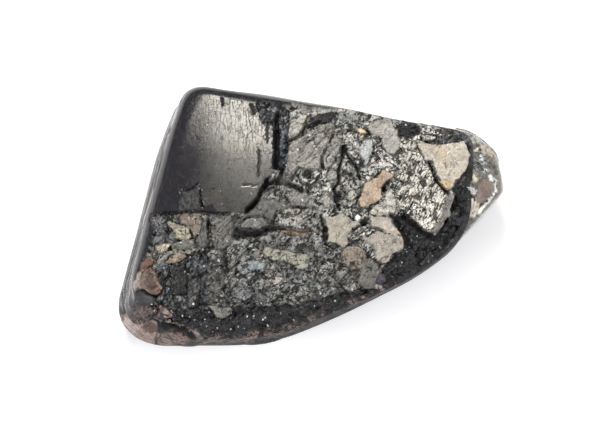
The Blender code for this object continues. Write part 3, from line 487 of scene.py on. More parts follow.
# Ridges that run along the left wall. Each wanders in two waves along y, given as radians per
# millimetre, start and swing, and they are stronger in some places than in others
WALL_RIDGE_PITCH = 1.7
LEFT_WALL_FROM = (13.6, 15.2)
RIDGE_WANDER = [(0.31, 0.5, 0.9), (0.83, 0.0, 0.5)]
RIDGE_UNEVEN = (-0.22, 0.9)
RIDGE_UNEVEN_SHARE = 0.45

# Low swells of the walls and the underside: radians per millimetre along x, y and z, start, height
SWELLS = [
    ((0.26, 0.18, 0.42), 1.17, 0.05),
    ((-0.22, 0.4, 0.34), -0.99, 0.05),
    ((0.62, -0.5, 0.66), 2.79, 0.04),
]
SWELL_SHARE_AT_LEFT = 0.4

# Upward part of the normal between which the face's relief comes in and the underside turns into
# wall, the part toward the camera from which patches show, and how far inside the walls the
# relief comes in
FACE_FROM = (0.15, 0.6)
WALL_FROM = (-0.95, -0.6)
SEEN_FROM = (-0.03, 0.17)
RELIEF_FROM_WALL = (-0.2, 0.5)

# The face falls away on both sides of a line: the heading of the fall, where the line lies, how
# strong the bend is, how far it goes on each side, and how high the line lies
DOME_HEADING = 60.0
DOME_MIDDLE = 2.0
DOME_BEND = 0.005
DOME_REACH = (-8.0, 4.0)
DOME_RISE = 0.09

# The glossy pane: heading, start and end of the rise of its specks and of the fades of its painted sheen
# into the rim
PANE_SPECKS = (50.0, -4.0, 7.0)
PANE_SHEEN_FADES = [(-14.0, -13.2, -9.4), (80.0, 11.2, 8.6)]

# How much of a crack rubble fills, and how fast the painted shade in it darkens with its depth
PIT_RUBBLE = 0.3
SHADE_PER_DEPTH = 2.2

# Light lines of the left wall, pale veins with painted reflection of the bright floor in their
# colour: the upward part of the normal where they end, and how far toward the near side they reach
LEFT_LINES_TO = (0.2, 0.45)
LEFT_LINES_FROM = (-10.2, -8.4)

# The other walls are matt: the upward part of the normal where that ends, and the far edge, which
# is glossy
MATT_WALL_TO = (0.3, 0.75)
MATT_ROUGHNESS = 0.75
FAR_EDGE_FROM = (5.0, 7.0)

# The smoky end: mesh fineness, and its cloudy heart, as the camera sees it: how far it stands out,
# how deep it lies at the clear rim, and its parts, laid out like those of the face
END_FINENESS = 5
HEART_FINENESS = 6
HEART_RISE = 0.08
HEART_DEPTH = 1.3
HEART_FLANK = (-0.1, 0.1)
HEART_CLEAR_BELOW = (-0.5, 1.0)
HEART_OUTLINE = [(14.6, 9.4), (16.2, 8.9), (17.7, 8.2), (19.2, 6.6), (19.6, 5), (19.2, 4), (18.97, 3.4),
    (18.87, 2.35), (18.37, 1.5), (17.72, 0.75), (17.1, 0.1), (16.4, -0.4), (15, -1.5), (13.5, 3)]
END_PATCHES = {
    "side": ("umber", 1.3, "clear", 0, [(12, 10), (21, 10), (21, -4), (12, -4)]),
    "heart": ("green_grey", 1.3, "grain", 0.1, HEART_OUTLINE),
    "green_shard": ("green_grey", 1.6, "grain", 0, [(16, 8.2), (16.6, 8.2), (17.1, 8), (17.4, 7.4),
        (17.3, 7.1), (16.8, 7.2), (16.4, 7), (16, 7.1)]),
    "tan_shard": ("tan", 1, "grain", 0, [(16.9, 7.1), (17.6, 7.2), (18.2, 6.8), (18.6, 6.2), (18.6, 5.8),
        (17.9, 5.8), (17.4, 6), (17, 6.5)]),
    "orange_spot": ("orange", 0.8, "feldspar", 0, [(17.9, 6.3), (18.3, 6.3), (18.6, 5.8), (18, 5.8)]),
    "cream_spot": ("cream", 1.7, "feldspar", 0, [(16.2, 6.6), (16.7, 6.75), (16.95, 6.5), (16.6, 6.3),
        (16.2, 6.3)]),
    # A painted shadow under the green shard, in a shallow dip
    "shard_shadow": ("dark_grey", 0.8, "clear", 0.2, [(16, 7), (16.4, 6.95), (16.9, 7.1), (16.7, 6.85),
        (16.1, 6.7)]),
    "milky_shard": ("quartz", 1.7, "mosaic", 0, [(16.7, 6.3), (17.3, 6.2), (17.9, 5.7), (17.8, 5.1),
        (17.2, 4.9), (16.8, 5.4)]),
    "dark_spot": ("dark_grey", 1, "black", 0.1, [(17.8, 5.4), (18.15, 5.4), (18.2, 4.9), (17.8, 4.8)]),
    "olive_edge": ("green_beige", 0.25, "clear", 0, [(18.3, 5.2), (18.7, 5.1), (19.1, 4.2), (18.7, 3.9),
        (18.4, 4.4)]),
    "pale_mauve": ("beige_grey", 1.2, "mosaic", 0, [(16, 5.4), (16.9, 5.3), (17.2, 4.8), (17, 4.3),
        (16.3, 4.4), (16, 4.8)]),
    "white_shard": ("quartz", 2.2, "grain", 0, [(17.1, 4.9), (17.9, 4.7), (18.2, 4.4), (17.7, 4.1),
        (17.2, 4.3)]),
    "orange_cream": ("cream", 1.3, "grain", 0, [(16.3, 4.3), (16.9, 4.35), (17, 3.8), (16.6, 3.3),
        (16.3, 3.6)]),
    "mauve_lens": ("umber", 0.66, "clear", -0.03, [(16.9, 3.3), (17.7, 4.1), (18.7, 3.3), (18.6, 2.5),
        (18.1, 1.7), (17.5, 1.2), (17, 0.8), (16.7, 1.2), (16.4, 1.7), (16.8, 2.5)]),
    # A painted highlight on the clear quartz
    "highlight_triangle": ("quartz", 2.5, "feldspar", -0.05, [(17.8, 3.9), (18.2, 4), (18.8, 3.4),
        (18.2, 3.35)]),
    "cream_facet": ("tan", 1.4, "striped", 0, [(15.7, 1.8), (16.4, 1.8), (16.7, 1.2), (17.1, 0.6),
        (16.5, 0.1), (16, -0.2), (15.6, 0.3)]),
    "outer_band": ("umber", 1.1, "clear", 0, [(18.9, 3.6), (19.6, 3.2), (19.4, 2), (18.8, 1), (17.7, -0.1),
        (16.7, -1), (15.8, -1.5), (15.8, -0.9), (16.9, 0), (17.8, 0.95), (18.4, 1.8), (18.75, 2.6)]),
    # A painted highlight along the edge of the clear rim
    "highlight_line": ("quartz", 2.6, "feldspar", -0.06, [(18.6, 3.5), (18.5, 2.5), (18.05, 1.75), (17.45, 1),
        (16.85, 0.3), (16.3, -0.1), (16.4, -0.25), (17, 0.1), (17.62, 0.87), (18.22, 1.62), (18.7, 2.4),
        (18.8, 3.4)]),
}

# The materials: refractive indices, the smoky end's roughness and how wavy its skin is
STONE_IOR = 1.55
END_IOR = 1.54
END_ROUGHNESS = 0.03
END_WAVES = 0.05

# Sockets of the Mix node that belong to its colours
MIX_FACTOR = 0
MIX_FIRST = 6
MIX_SECOND = 7
MIX_RESULT = 2

# The studio, in metres
SKY_LOW = (0.35, 0.35, 0.36, 1.0)
SKY_HIGH = (0.35, 0.35, 0.37, 1.0)
SKY_RISE = (0.1, 0.9)
FLOOR_DARKEST = (0.9, 0.9, 0.9, 1.0)
FLOOR_PALEST = (0.93, 0.93, 0.93, 1.0)
FLOOR_ROUGHNESS = 0.6
FLOOR_GAP = 0.00002
CAMERA_CLIP = (0.02, 20.0)
WHITE = (1.0, 1.0, 1.0, 1.0)

# Softboxes, in metres: how far off they hang, and for each its heading and elevation, its size,
# its share of the brightness and its colour
SOFTBOX_DISTANCE = 0.6
SOFTBOXES = {
    "far_strip": (102.4, 56.8, (0.11, 0.323), 1.0, (1.0, 0.95, 0.84)),
    "top_softbox": (54.7, 80.8, (0.33, 0.1), 0.17, (1.0, 0.95, 0.88)),
    "left_softbox": (200.0, 42.0, (0.26, 0.26), 0.5, (0.98, 0.98, 1.0)),
    "right_softbox": (352.0, 42.0, (0.26, 0.26), 0.5, (0.98, 0.98, 1.0)),
}


def smooth_step(values, low, high):
    """0 below low, 1 above high and a smooth rise between."""
    t = np.clip((values - low) / (high - low), 0.0, 1.0)
    return t * t * (3.0 - 2.0 * t)


def smooth_max(first, second, rounding):
    """The larger of two distances, with the edge between them rounded."""
    overlap = np.clip(rounding - np.abs(first - second), 0.0, None)
    return np.maximum(first, second) + overlap * overlap / (4.0 * rounding)


def outward(heading, lean):
    """Unit vector at a heading in plan, tipped up by lean degrees."""
    turn = math.radians(heading)
    tip = math.radians(lean)
    return np.array([math.cos(turn) * math.cos(tip), math.sin(turn) * math.cos(tip), math.sin(tip)])


def turned(flat, heading):
    """Places measured along a heading and across it."""
    turn = np.radians(heading)
    along = flat[:, 0] * np.cos(turn) + flat[:, 1] * np.sin(turn)
    across = flat[:, 1] * np.cos(turn) - flat[:, 0] * np.sin(turn)
    return np.stack([along, across], axis=1)


def rise_along(flat, heading, start, end):
    """0 before a start and 1 past an end, both measured along a heading."""
    return smooth_step(turned(flat, heading)[:, 0], start, end)


def wall_distance(points, heading, reach, spread):
    """Distance outside one wall, which passes the given reach at the rim's height."""
    normal = outward(heading, spread)
    on_rim = outward(heading, 0.0) * reach + np.array([0.0, 0.0, RIM_HEIGHT])
    return (points - on_rim) @ normal


def face_height(points):
    """Height of the domed polished face over each point."""
    x, y = points[:, 0], points[:, 1]
    dome = (x * x + y * y) / (2.0 * FACE_DOME_RADIUS)
    return THICKNESS + FACE_TILT_X * x + FACE_TILT_Y * y - dome


def walls_distance(points):
    """Distance outside all the walls."""
    walls = None
    for heading, reach, spread in WALLS.values():
        wall = wall_distance(points, heading, reach, spread)
        walls = wall if walls is None else smooth_max(walls, wall, CORNER_ROUNDING)
    return walls


def stone_distance(points):
    """Distance outside the rounded block of the black stone."""
    walls = walls_distance(points)
    face = points[:, 2] - face_height(points)
    return smooth_max(smooth_max(face, walls, RIM_ROUNDING), -points[:, 2], UNDERSIDE_ROUNDING)


def end_distance(points):
    """Distance outside the smoky end."""
    offset = points - np.array(END_MIDDLE)
    radii = np.array(END_RADII)
    distance = (np.linalg.norm(offset / radii, axis=1) - 1.0) * radii.min()
    for heading, lean, reach in END_FACES.values():
        distance = smooth_max(distance, offset @ outward(heading, lean) - reach, END_ROUNDING)
    return distance


def cast(points, middle, distance):
    """Slide each point along its ray from the middle until it lies on the solid."""
    middle = np.array(middle)
    rays = points - middle
    rays /= np.linalg.norm(rays, axis=1)[:, None]
    near = np.zeros(len(points))
    far = np.full(len(points), CAST_REACH)
    for _ in range(CAST_HALVINGS):
        half = (near + far) / 2.0
        inside = distance(middle + rays * half[:, None]) < 0.0
        near = np.where(inside, half, near)
        far = np.where(inside, far, half)
    return middle + rays * near[:, None]


def slopes(points, distance):
    """Unit outward normals of a solid at its surface points."""
    normals = np.empty_like(points)
    for axis in range(3):
        shift = np.zeros(3)
        shift[axis] = SLOPE_STEP
        normals[:, axis] = distance(points + shift) - distance(points - shift)
    return normals / np.linalg.norm(normals, axis=1)[:, None]


def camera_axes():
    """Unit vectors to the camera's right, up and back."""
    lean = math.radians(CAMERA_ELEVATION)
    right = np.array([1.0, 0.0, 0.0])
    up = np.array([0.0, math.sin(lean), math.cos(lean)])
    back = np.array([0.0, -math.cos(lean), math.sin(lean)])
    return right, up, back


def camera_place():
    """Where the camera stands, from the middle of the face."""
    right, up, back = camera_axes()
    shift = right * TARGET_SEEN_AT[0] + up * TARGET_SEEN_AT[1]
    return np.array(CAMERA_TARGET) + back * CAMERA_DISTANCE - shift


def seen(points):
    """Where the camera sees each point, from the middle of the face."""
    right, up, back = camera_axes()
    offset = points - camera_place()
    scale = -CAMERA_DISTANCE / (offset @ back)
    flat = np.stack([offset @ right, offset @ up], axis=1) * scale[:, None]
    return flat - np.array(TARGET_SEEN_AT)


def outside_outline(flat, outline):
    """Distance of plan points from a closed outline, negative inside it."""
    nearest = np.full(len(flat), np.inf)
    inside = np.zeros(len(flat), bool)
    for (x0, y0), (x1, y1) in zip(outline, outline[1:] + outline[:1]):
        nearest = np.minimum(nearest, from_segment(flat, (x0, y0), (x1, y1)))
        crosses = (y0 > flat[:, 1]) != (y1 > flat[:, 1])
        if y1 != y0:
            where = x0 + (flat[:, 1] - y0) * (x1 - x0) / (y1 - y0)
            inside ^= crosses & (flat[:, 0] < where)
    return np.where(inside, -nearest, nearest)


def from_segment(flat, start, end):
    """Distance of plan points from a straight segment."""
    start = np.array(start)
    along = np.array(end) - start
    share = np.clip((flat - start) @ along / (along @ along), 0.0, 1.0)
    return np.linalg.norm(flat - start - share[:, None] * along, axis=1)


def from_line(flat, line):
    """Distance of plan points from a line of several points."""
    return np.min([from_segment(flat, a, b) for a, b in zip(line, line[1:])], axis=0)


def oval_share(flat, x, y, half_length, half_width, turn):
    """1 in the middle of a turned oval, 0 from its edge on."""
    offset = turned(flat - np.array([x, y]), turn)
    away = np.hypot(offset[:, 0] / half_length, offset[:, 1] / half_width)
    return smooth_step(1.0 - away, 0.0, PIT_FLANK)


def drift(points, size, seed):
    """Smooth noise from -1 to 1 whose bumps are about size apart, in 2 or 3 dimensions."""
    dimensions = points.shape[1]
    table = np.random.default_rng(seed).uniform(-1.0, 1.0, (NOISE_TILE,) * dimensions)
    low = np.floor(points / size).astype(int)
    share = smooth_step(points / size - low, 0.0, 1.0)
    total = np.zeros(len(points))
    for corner in itertools.product((0, 1), repeat=dimensions):
        weight = np.prod(np.where(corner, share, 1.0 - share), axis=1)
        total += weight * table[tuple(((low + np.array(corner)) % NOISE_TILE).T)]
    return total


def wander(flat, swing, size, seed):
    """Places pushed about smoothly in both directions."""
    return flat + swing * np.stack([drift(flat, size, seed), drift(flat, size, seed + 1)], axis=1)


def scattered_cells(places, size, seed):
    """Four random numbers of each place's cell, the way from its middle, and the gap to the next."""
    table = np.random.default_rng(seed).random((CELL_TILE, CELL_TILE, 6))
    home = np.floor(places / size).astype(int)
    nearest = np.full(len(places), np.inf)
    second = np.full(len(places), np.inf)
    numbers = np.zeros((len(places), 4))
    offset = np.zeros((len(places), 2))
    for step in itertools.product((-1, 0, 1), repeat=2):
        cell = home + np.array(step)
        drawn = table[tuple((cell % CELL_TILE).T)]
        way = places - (cell + 0.5 + (drawn[:, :2] - 0.5) * CELL_JITTER) * size
        away = np.linalg.norm(way, axis=1)
        closer = away < nearest
        second = np.where(closer, nearest, np.minimum(second, away))
        nearest = np.where(closer, away, nearest)
        numbers[closer] = drawn[closer, 2:]
        offset[closer] = way[closer]
    return numbers, offset, second - nearest


def cell_layer(flat, cells):
    """Relief, tone and joints of one layer of broken cells."""
    places = turned(wander(flat, CELL_WARP[0], CELL_WARP[1], cells.seed), cells.heading)
    places[:, 0] /= cells.stretch
    numbers, offset, gap = scattered_cells(places, cells.size, cells.seed)
    tilt = (offset * (numbers[:, 1:3] - 0.5)).sum(axis=1) * cells.tilt
    joint = 1.0 - smooth_step(gap, 0.0, cells.joint)
    return tilt - cells.drop * numbers[:, 0] ** 2, numbers[:, 3], joint


def broken_ground(flat):
    """Relief, tone and joints of the broken ground: coarse cells with finer ones in them."""
    coarse_relief, coarse_tone, coarse_joint = cell_layer(flat, COARSE_CELLS)
    fine_relief, fine_tone, fine_joint = cell_layer(flat, FINE_CELLS)
    joint = np.maximum(coarse_joint, FINE_JOINT_SHARE * fine_joint)
    joint *= smooth_step(drift(flat, *CELL_JOINT_STRETCHES), *JOINT_SHOWN)
    relief = coarse_relief + fine_relief - CELL_JOINT_DEPTH * joint
    return relief, COARSE_SHARE * coarse_tone + (1.0 - COARSE_SHARE) * fine_tone, joint


def patch_at(flat, patches):
    """The number of the patch that each place belongs to, and how far it is from an edge."""
    ragged = flat
    for push in RAGGED:
        ragged = wander(ragged, *push)
    edge = np.full(len(flat), np.inf)
    owner = np.full(len(flat), -1)
    for number, (_, _, _, _, outline) in enumerate(patches.values()):
        away = outside_outline(ragged, outline)
        owner[away < 0.0] = number
        edge = np.where(away < 0.0, -away, np.minimum(edge, away))
    return owner, edge


def dome_drop(flat):
    """How far the slightly domed face falls away from its highest line."""
    away = turned(flat, DOME_HEADING)[:, 0] - DOME_MIDDLE
    return 0.5 * DOME_BEND * np.clip(away, *DOME_REACH) ** 2 - DOME_RISE


class Look:
    """What the black stone's surface is like at each point, as its place in the camera's view says."""

    def __init__(self, points, normals, patches):
        self.flat = seen(points)
        _, _, back = camera_axes()
        shown = smooth_step(normals @ back, *SEEN_FROM) > 0.5
        owner, edge = patch_at(self.flat, patches)
        owner = np.where(shown, owner, -1)
        kinds = np.array([KINDS["rim"]] + [KINDS[patch[2]] for patch in patches.values()])
        self.kind = Kind(*kinds[owner + 1].T)
        colours = [PALETTE["body"]]
        colours += [np.array(PALETTE[patch[0]]) * patch[1] for patch in patches.values()]
        self.colour = np.array(colours)[owner + 1]
        level = np.array([0.0] + [patch[3] for patch in patches.values()])[owner + 1]
        ground, tone, joint = broken_ground(self.flat)
        self.relief = ground * self.kind.relief - level
        self.joints_and_shade = joint * self.kind.relief
        self.roughness = self.kind.roughness.copy()
        self.specks = self.kind.specks.copy()
        self.strokes = self.kind.strokes.copy()
        self.flecks = self.kind.flecks.copy()
        self.crumble(tone)
        on_pane = self.kind.roughness == KINDS["pane"].roughness
        self.soften_pane(on_pane)
        self.part_patches(np.where((owner < 0) | on_pane, 1.0, edge))

    def crumble(self, tone):
        """Makes some crumbs darker and some nearly black."""
        light = smooth_step(tone, *CRUMB_TONES)
        self.colour *= (1.0 - self.kind.crumbs * CRUMB_SHADE * (1.0 - light))[:, None]

    def soften_pane(self, on_pane):
        """Fades the pane's painted sheen into the black rim at its left and far sides, and its specks too.
        """
        inside = np.prod([rise_along(self.flat, *fade) for fade in PANE_SHEEN_FADES], axis=0)
        speckled = np.where(on_pane, rise_along(self.flat, *PANE_SPECKS), 1.0)
        self.specks *= speckled
        self.strokes *= speckled
        fade = np.where(on_pane, inside, 1.0)[:, None]
        self.colour = self.colour * fade + np.array(PALETTE["body"]) * (1.0 - fade)

    def roughen(self, share):
        """Makes the finish matt and free of painted glints where the share is 1."""
        self.roughness += (MATT_ROUGHNESS - self.roughness) * share
        self.flecks *= 1.0 - share

    def part_patches(self, edge):
        """Rounds the patches' edges and darkens the joints between them."""
        width, depth = OUTLINE_BEVEL
        self.relief -= depth * (1.0 - smooth_step(edge, 0.0, width))
        shown = smooth_step(drift(self.flat, *JOINT_STRETCHES), *JOINT_SHOWN)
        joint = JOINT_SHADE * shown * (1.0 - smooth_step(edge, 0.0, JOINT_WIDTH))
        self.joints_and_shade = np.maximum(self.joints_and_shade, joint)

    def open_cracks(self):
        """Cuts the cracks and pits, with painted shade in their depth."""
        ragged = wander(self.flat, *CRACK_WANDER)
        for line, width, depth in CRACKS.values():
            low, high = width * CRACK_FLANK[0], width * CRACK_FLANK[1]
            self.lower(1.0 - smooth_step(from_line(ragged, line), low, high), depth)
        for *oval, depth in PITS.values():
            self.lower(oval_share(ragged, *oval), depth)

    def lower(self, share, depth):
        """Sinks the surface by a depth where the share is 1, and paints shade there, the darker the deeper.
        """
        self.relief -= depth * share * (1.0 - PIT_RUBBLE * self.kind.relief)
        self.joints_and_shade = np.maximum(self.joints_and_shade, share * min(1.0, SHADE_PER_DEPTH * depth))


def lump_relief(points):
    """How far the grown-in lumps stand out."""
    relief = np.zeros(len(points))
    for middle, reach, height in LUMPS.values():
        away = np.linalg.norm((points - np.array(middle)) / np.array(reach), axis=1)
        relief += height * smooth_step(1.0 - away, 0.0, LUMP_FLANK)
    return relief


def left_share(points):
    """1 on the left wall, 0 elsewhere."""
    heading, _, spread = WALLS["left"]
    return smooth_step(points @ outward(heading, spread), *LEFT_WALL_FROM)


def wall_relief(points, ridge_height):
    """Swells of the walls, and the ridges along the left one."""
    relief = np.zeros(len(points))
    for waves, start, height in SWELLS:
        relief += height * np.sin(points @ np.array(waves) + start)
    on_left = left_share(points)
    y, z = points[:, 1], points[:, 2]
    sway = sum(swing * np.sin(waves * y + start) for waves, start, swing in RIDGE_WANDER)
    ridges = np.sin(z * 2.0 * math.pi / WALL_RIDGE_PITCH + sway)
    patches = np.sin(y * RIDGE_UNEVEN[0] + z * RIDGE_UNEVEN[1])
    uneven = 1.0 - RIDGE_UNEVEN_SHARE + RIDGE_UNEVEN_SHARE * patches
    swells_left = 1.0 - (1.0 - SWELL_SHARE_AT_LEFT) * on_left
    return relief * swells_left + ridge_height * ridges * uneven * on_left


def mesh_points(mesh):
    """A mesh's points as an array, in millimetres."""
    points = np.empty(len(mesh.vertices) * 3, np.float32)
    mesh.vertices.foreach_get("co", points)
    return points.reshape(-1, 3).astype(float) / MM


def set_mesh_points(mesh, points):
    """Put an array of points, in millimetres, back into a mesh."""
    mesh.vertices.foreach_set("co", (points * MM).astype(np.float32).ravel())
    mesh.update()


def set_colour(mesh, name, colours):
    """Keeps a colour for each point under a name."""
    whole = np.ones((len(colours), 4), np.float32)
    whole[:, :3] = colours
    mesh.attributes.new(name, "FLOAT_COLOR", "POINT").data.foreach_set("color", whole.ravel())


def set_values(mesh, name, first, second, third):
    """Keeps three values for each point under a name."""
    whole = np.stack([first, second, third], axis=1).astype(np.float32)
    mesh.attributes.new(name, "FLOAT_VECTOR", "POINT").data.foreach_set("vector", whole.ravel())


def select_in_mesh(kind, chosen):
    """In edit mode, selects the edges or faces that the test chooses, and nothing else."""
    bpy.ops.mesh.select_all(action="DESELECT")
    bpy.ops.mesh.select_mode(type=kind)
    mesh = bmesh.from_edit_mesh(bpy.context.object.data)
    mesh.normal_update()
    for part in mesh.edges if kind == "EDGE" else mesh.faces:
        part.select_set(chosen(part))
    bmesh.update_edit_mesh(bpy.context.object.data)


def cut_block():
    """A block cut into a fine grid, finest on top, with its corners moved to the stone's."""
    corners = np.array(list(BLOCK_CORNERS.values()))
    width, depth = corners.max(axis=0) - corners.min(axis=0)
    bpy.ops.object.select_all(action="DESELECT")
    bpy.ops.mesh.primitive_cube_add(
        size=1.0,
        location=Vector(BLOCK_MIDDLE) * MM,
        scale=(width * MM, depth * MM, BLOCK_HEIGHT * MM),
    )
    bpy.ops.object.transform_apply(location=True, rotation=True, scale=True)
    bpy.ops.object.mode_set(mode="EDIT")
    for axis, cuts in enumerate(BLOCK_CUTS):
        select_in_mesh("EDGE", lambda edge: lies_along(edge, axis))
        bpy.ops.mesh.subdivide(number_cuts=cuts)
    select_in_mesh("FACE", lambda face: face.normal.z > -0.5)
    bpy.ops.mesh.subdivide(number_cuts=WALL_CUTS)
    select_in_mesh("FACE", lambda face: face.normal.z > 0.5)
    bpy.ops.mesh.subdivide(number_cuts=FACE_CUTS)
    bpy.ops.object.mode_set(mode="OBJECT")
    block = bpy.context.object
    points = mesh_points(block.data)
    share = (points - np.array(BLOCK_MIDDLE)) / np.array([width, depth, BLOCK_HEIGHT]) + 0.5
    plan = sum(
        np.array(corner)
        * (share[:, :1] if side_x > 0 else 1.0 - share[:, :1])
        * (share[:, 1:2] if side_y > 0 else 1.0 - share[:, 1:2])
        for (side_x, side_y), corner in BLOCK_CORNERS.items()
    )
    points[:, :2] = plan
    set_mesh_points(block.data, points)
    return block


def lies_along(edge, axis):
    """Whether an edge runs along an axis."""
    run = edge.verts[1].co - edge.verts[0].co
    return abs(run[axis]) > 0.5 * run.length


def black_stone(settings):
    """The black stone: the block cast onto the rounded form, with the relief of its face and walls."""
    block = cut_block()
    block.name = "black_stone"
    points = cast(mesh_points(block.data), BLOCK_MIDDLE, stone_distance)
    normals = slopes(points, stone_distance)
    up = normals[:, 2]
    look = Look(points, normals, PATCHES)
    look.open_cracks()
    facing = smooth_step(up, *FACE_FROM)
    on_face = facing * smooth_step(-walls_distance(points), *RELIEF_FROM_WALL)
    on_wall = (1.0 - facing) * smooth_step(up, *WALL_FROM)
    height = (look.relief - dome_drop(look.flat)) * on_face
    height += wall_relief(points, settings.ridge_height / MM) * on_wall
    height += lump_relief(points)
    points += normals * height[:, None]
    points[points[:, 2] < BASE_STRIP, 2] = 0.0
    set_mesh_points(block.data, points + np.array(FACE_MIDDLE))
    far = look.flat[:, 1]
    glossy = left_share(points) * smooth_step(far, *LEFT_LINES_FROM)
    matt = (1.0 - glossy) * (1.0 - smooth_step(up, *MATT_WALL_TO))
    look.roughen(matt * (1.0 - smooth_step(far, *FAR_EDGE_FROM)))
    keep_look(block.data, look, glossy * (1.0 - smooth_step(up, *LEFT_LINES_TO)))
    return block


def keep_look(mesh, look, on_left):
    """Keeps what the surface is like with the mesh's points, for the material."""
    grain = turned(look.flat, look.kind.heading)
    set_colour(mesh, "mineral", look.colour)
    set_values(mesh, "finish", look.roughness, look.specks, look.strokes)
    # The third value darkens the colour at dark joints, and as painted shade in cracks and pits
    set_values(mesh, "breaks", look.kind.cracks, look.kind.facets, look.joints_and_shade)
    set_values(mesh, "grain", grain[:, 0], grain[:, 1], on_left)
    set_values(mesh, "crumbs", look.kind.pepper, look.flecks, look.kind.relief)


def cast_ball(name, fineness, distance):
    """A ball of small triangles in the smoky end, and its points cast onto a solid."""
    bpy.ops.object.select_all(action="DESELECT")
    bpy.ops.mesh.primitive_ico_sphere_add(
        subdivisions=fineness, radius=min(END_RADII) * MM, location=Vector(END_MIDDLE) * MM
    )
    bpy.ops.object.transform_apply(location=True, rotation=True, scale=True)
    ball = bpy.context.object
    ball.name = name
    return ball, cast(mesh_points(ball.data), END_MIDDLE, distance)


def smoky_end():
    """The clear smoky end: a ball cast onto the flat-faced egg."""
    end, points = cast_ball("smoky_end", END_FINENESS, end_distance)
    set_mesh_points(end.data, points + np.array(FACE_MIDDLE))
    return end


def heart_distance(points):
    """Distance outside the cloudy heart: level with the skin, and deep under it at the clear rim."""
    clear = smooth_step(outside_outline(seen(points), HEART_OUTLINE), *HEART_FLANK)
    low = smooth_step(END_MIDDLE[2] - points[:, 2], *HEART_CLEAR_BELOW)
    return end_distance(points) - HEART_RISE + HEART_DEPTH * np.maximum(clear, low)


def end_heart():
    """The cloudy heart of the smoky end, with its milky and coloured grains."""
    heart, points = cast_ball("end_heart", HEART_FINENESS, heart_distance)
    normals = slopes(points, end_distance)
    look = Look(points, normals, END_PATCHES)
    points += normals * look.relief[:, None]
    set_mesh_points(heart.data, points + np.array(FACE_MIDDLE))
    keep_look(heart.data, look, np.zeros(len(points)))
    return heart


class Signal:
    """A socket of a material's node, for writing shader maths as formulas."""

    def __init__(self, nodes, socket):
        self.nodes = nodes
        self.socket = socket

    def maths(self, operation, first, second):
        return self.nodes.add("ShaderNodeMath", {"operation": operation}, {0: first, 1: second})

    def __add__(self, other):
        return self.maths("ADD", self, other)

    def __radd__(self, other):
        return self.maths("ADD", other, self)

    def __sub__(self, other):
        return self.maths("SUBTRACT", self, other)

    def __rsub__(self, other):
        return self.maths("SUBTRACT", other, self)

    def __mul__(self, other):
        return self.maths("MULTIPLY", self, other)

    def __rmul__(self, other):
        return self.maths("MULTIPLY", other, self)

    def rise(self, low, high):
        """0 where the signal is at low, 1 at high and a smooth rise between."""
        values = {"Value": self, "From Min": low, "From Max": high}
        if low > high:
            values = {"Value": self, "From Min": high, "From Max": low, "To Min": 1.0, "To Max": 0.0}
        return self.nodes.add("ShaderNodeMapRange", {"interpolation_type": "SMOOTHSTEP"}, values)


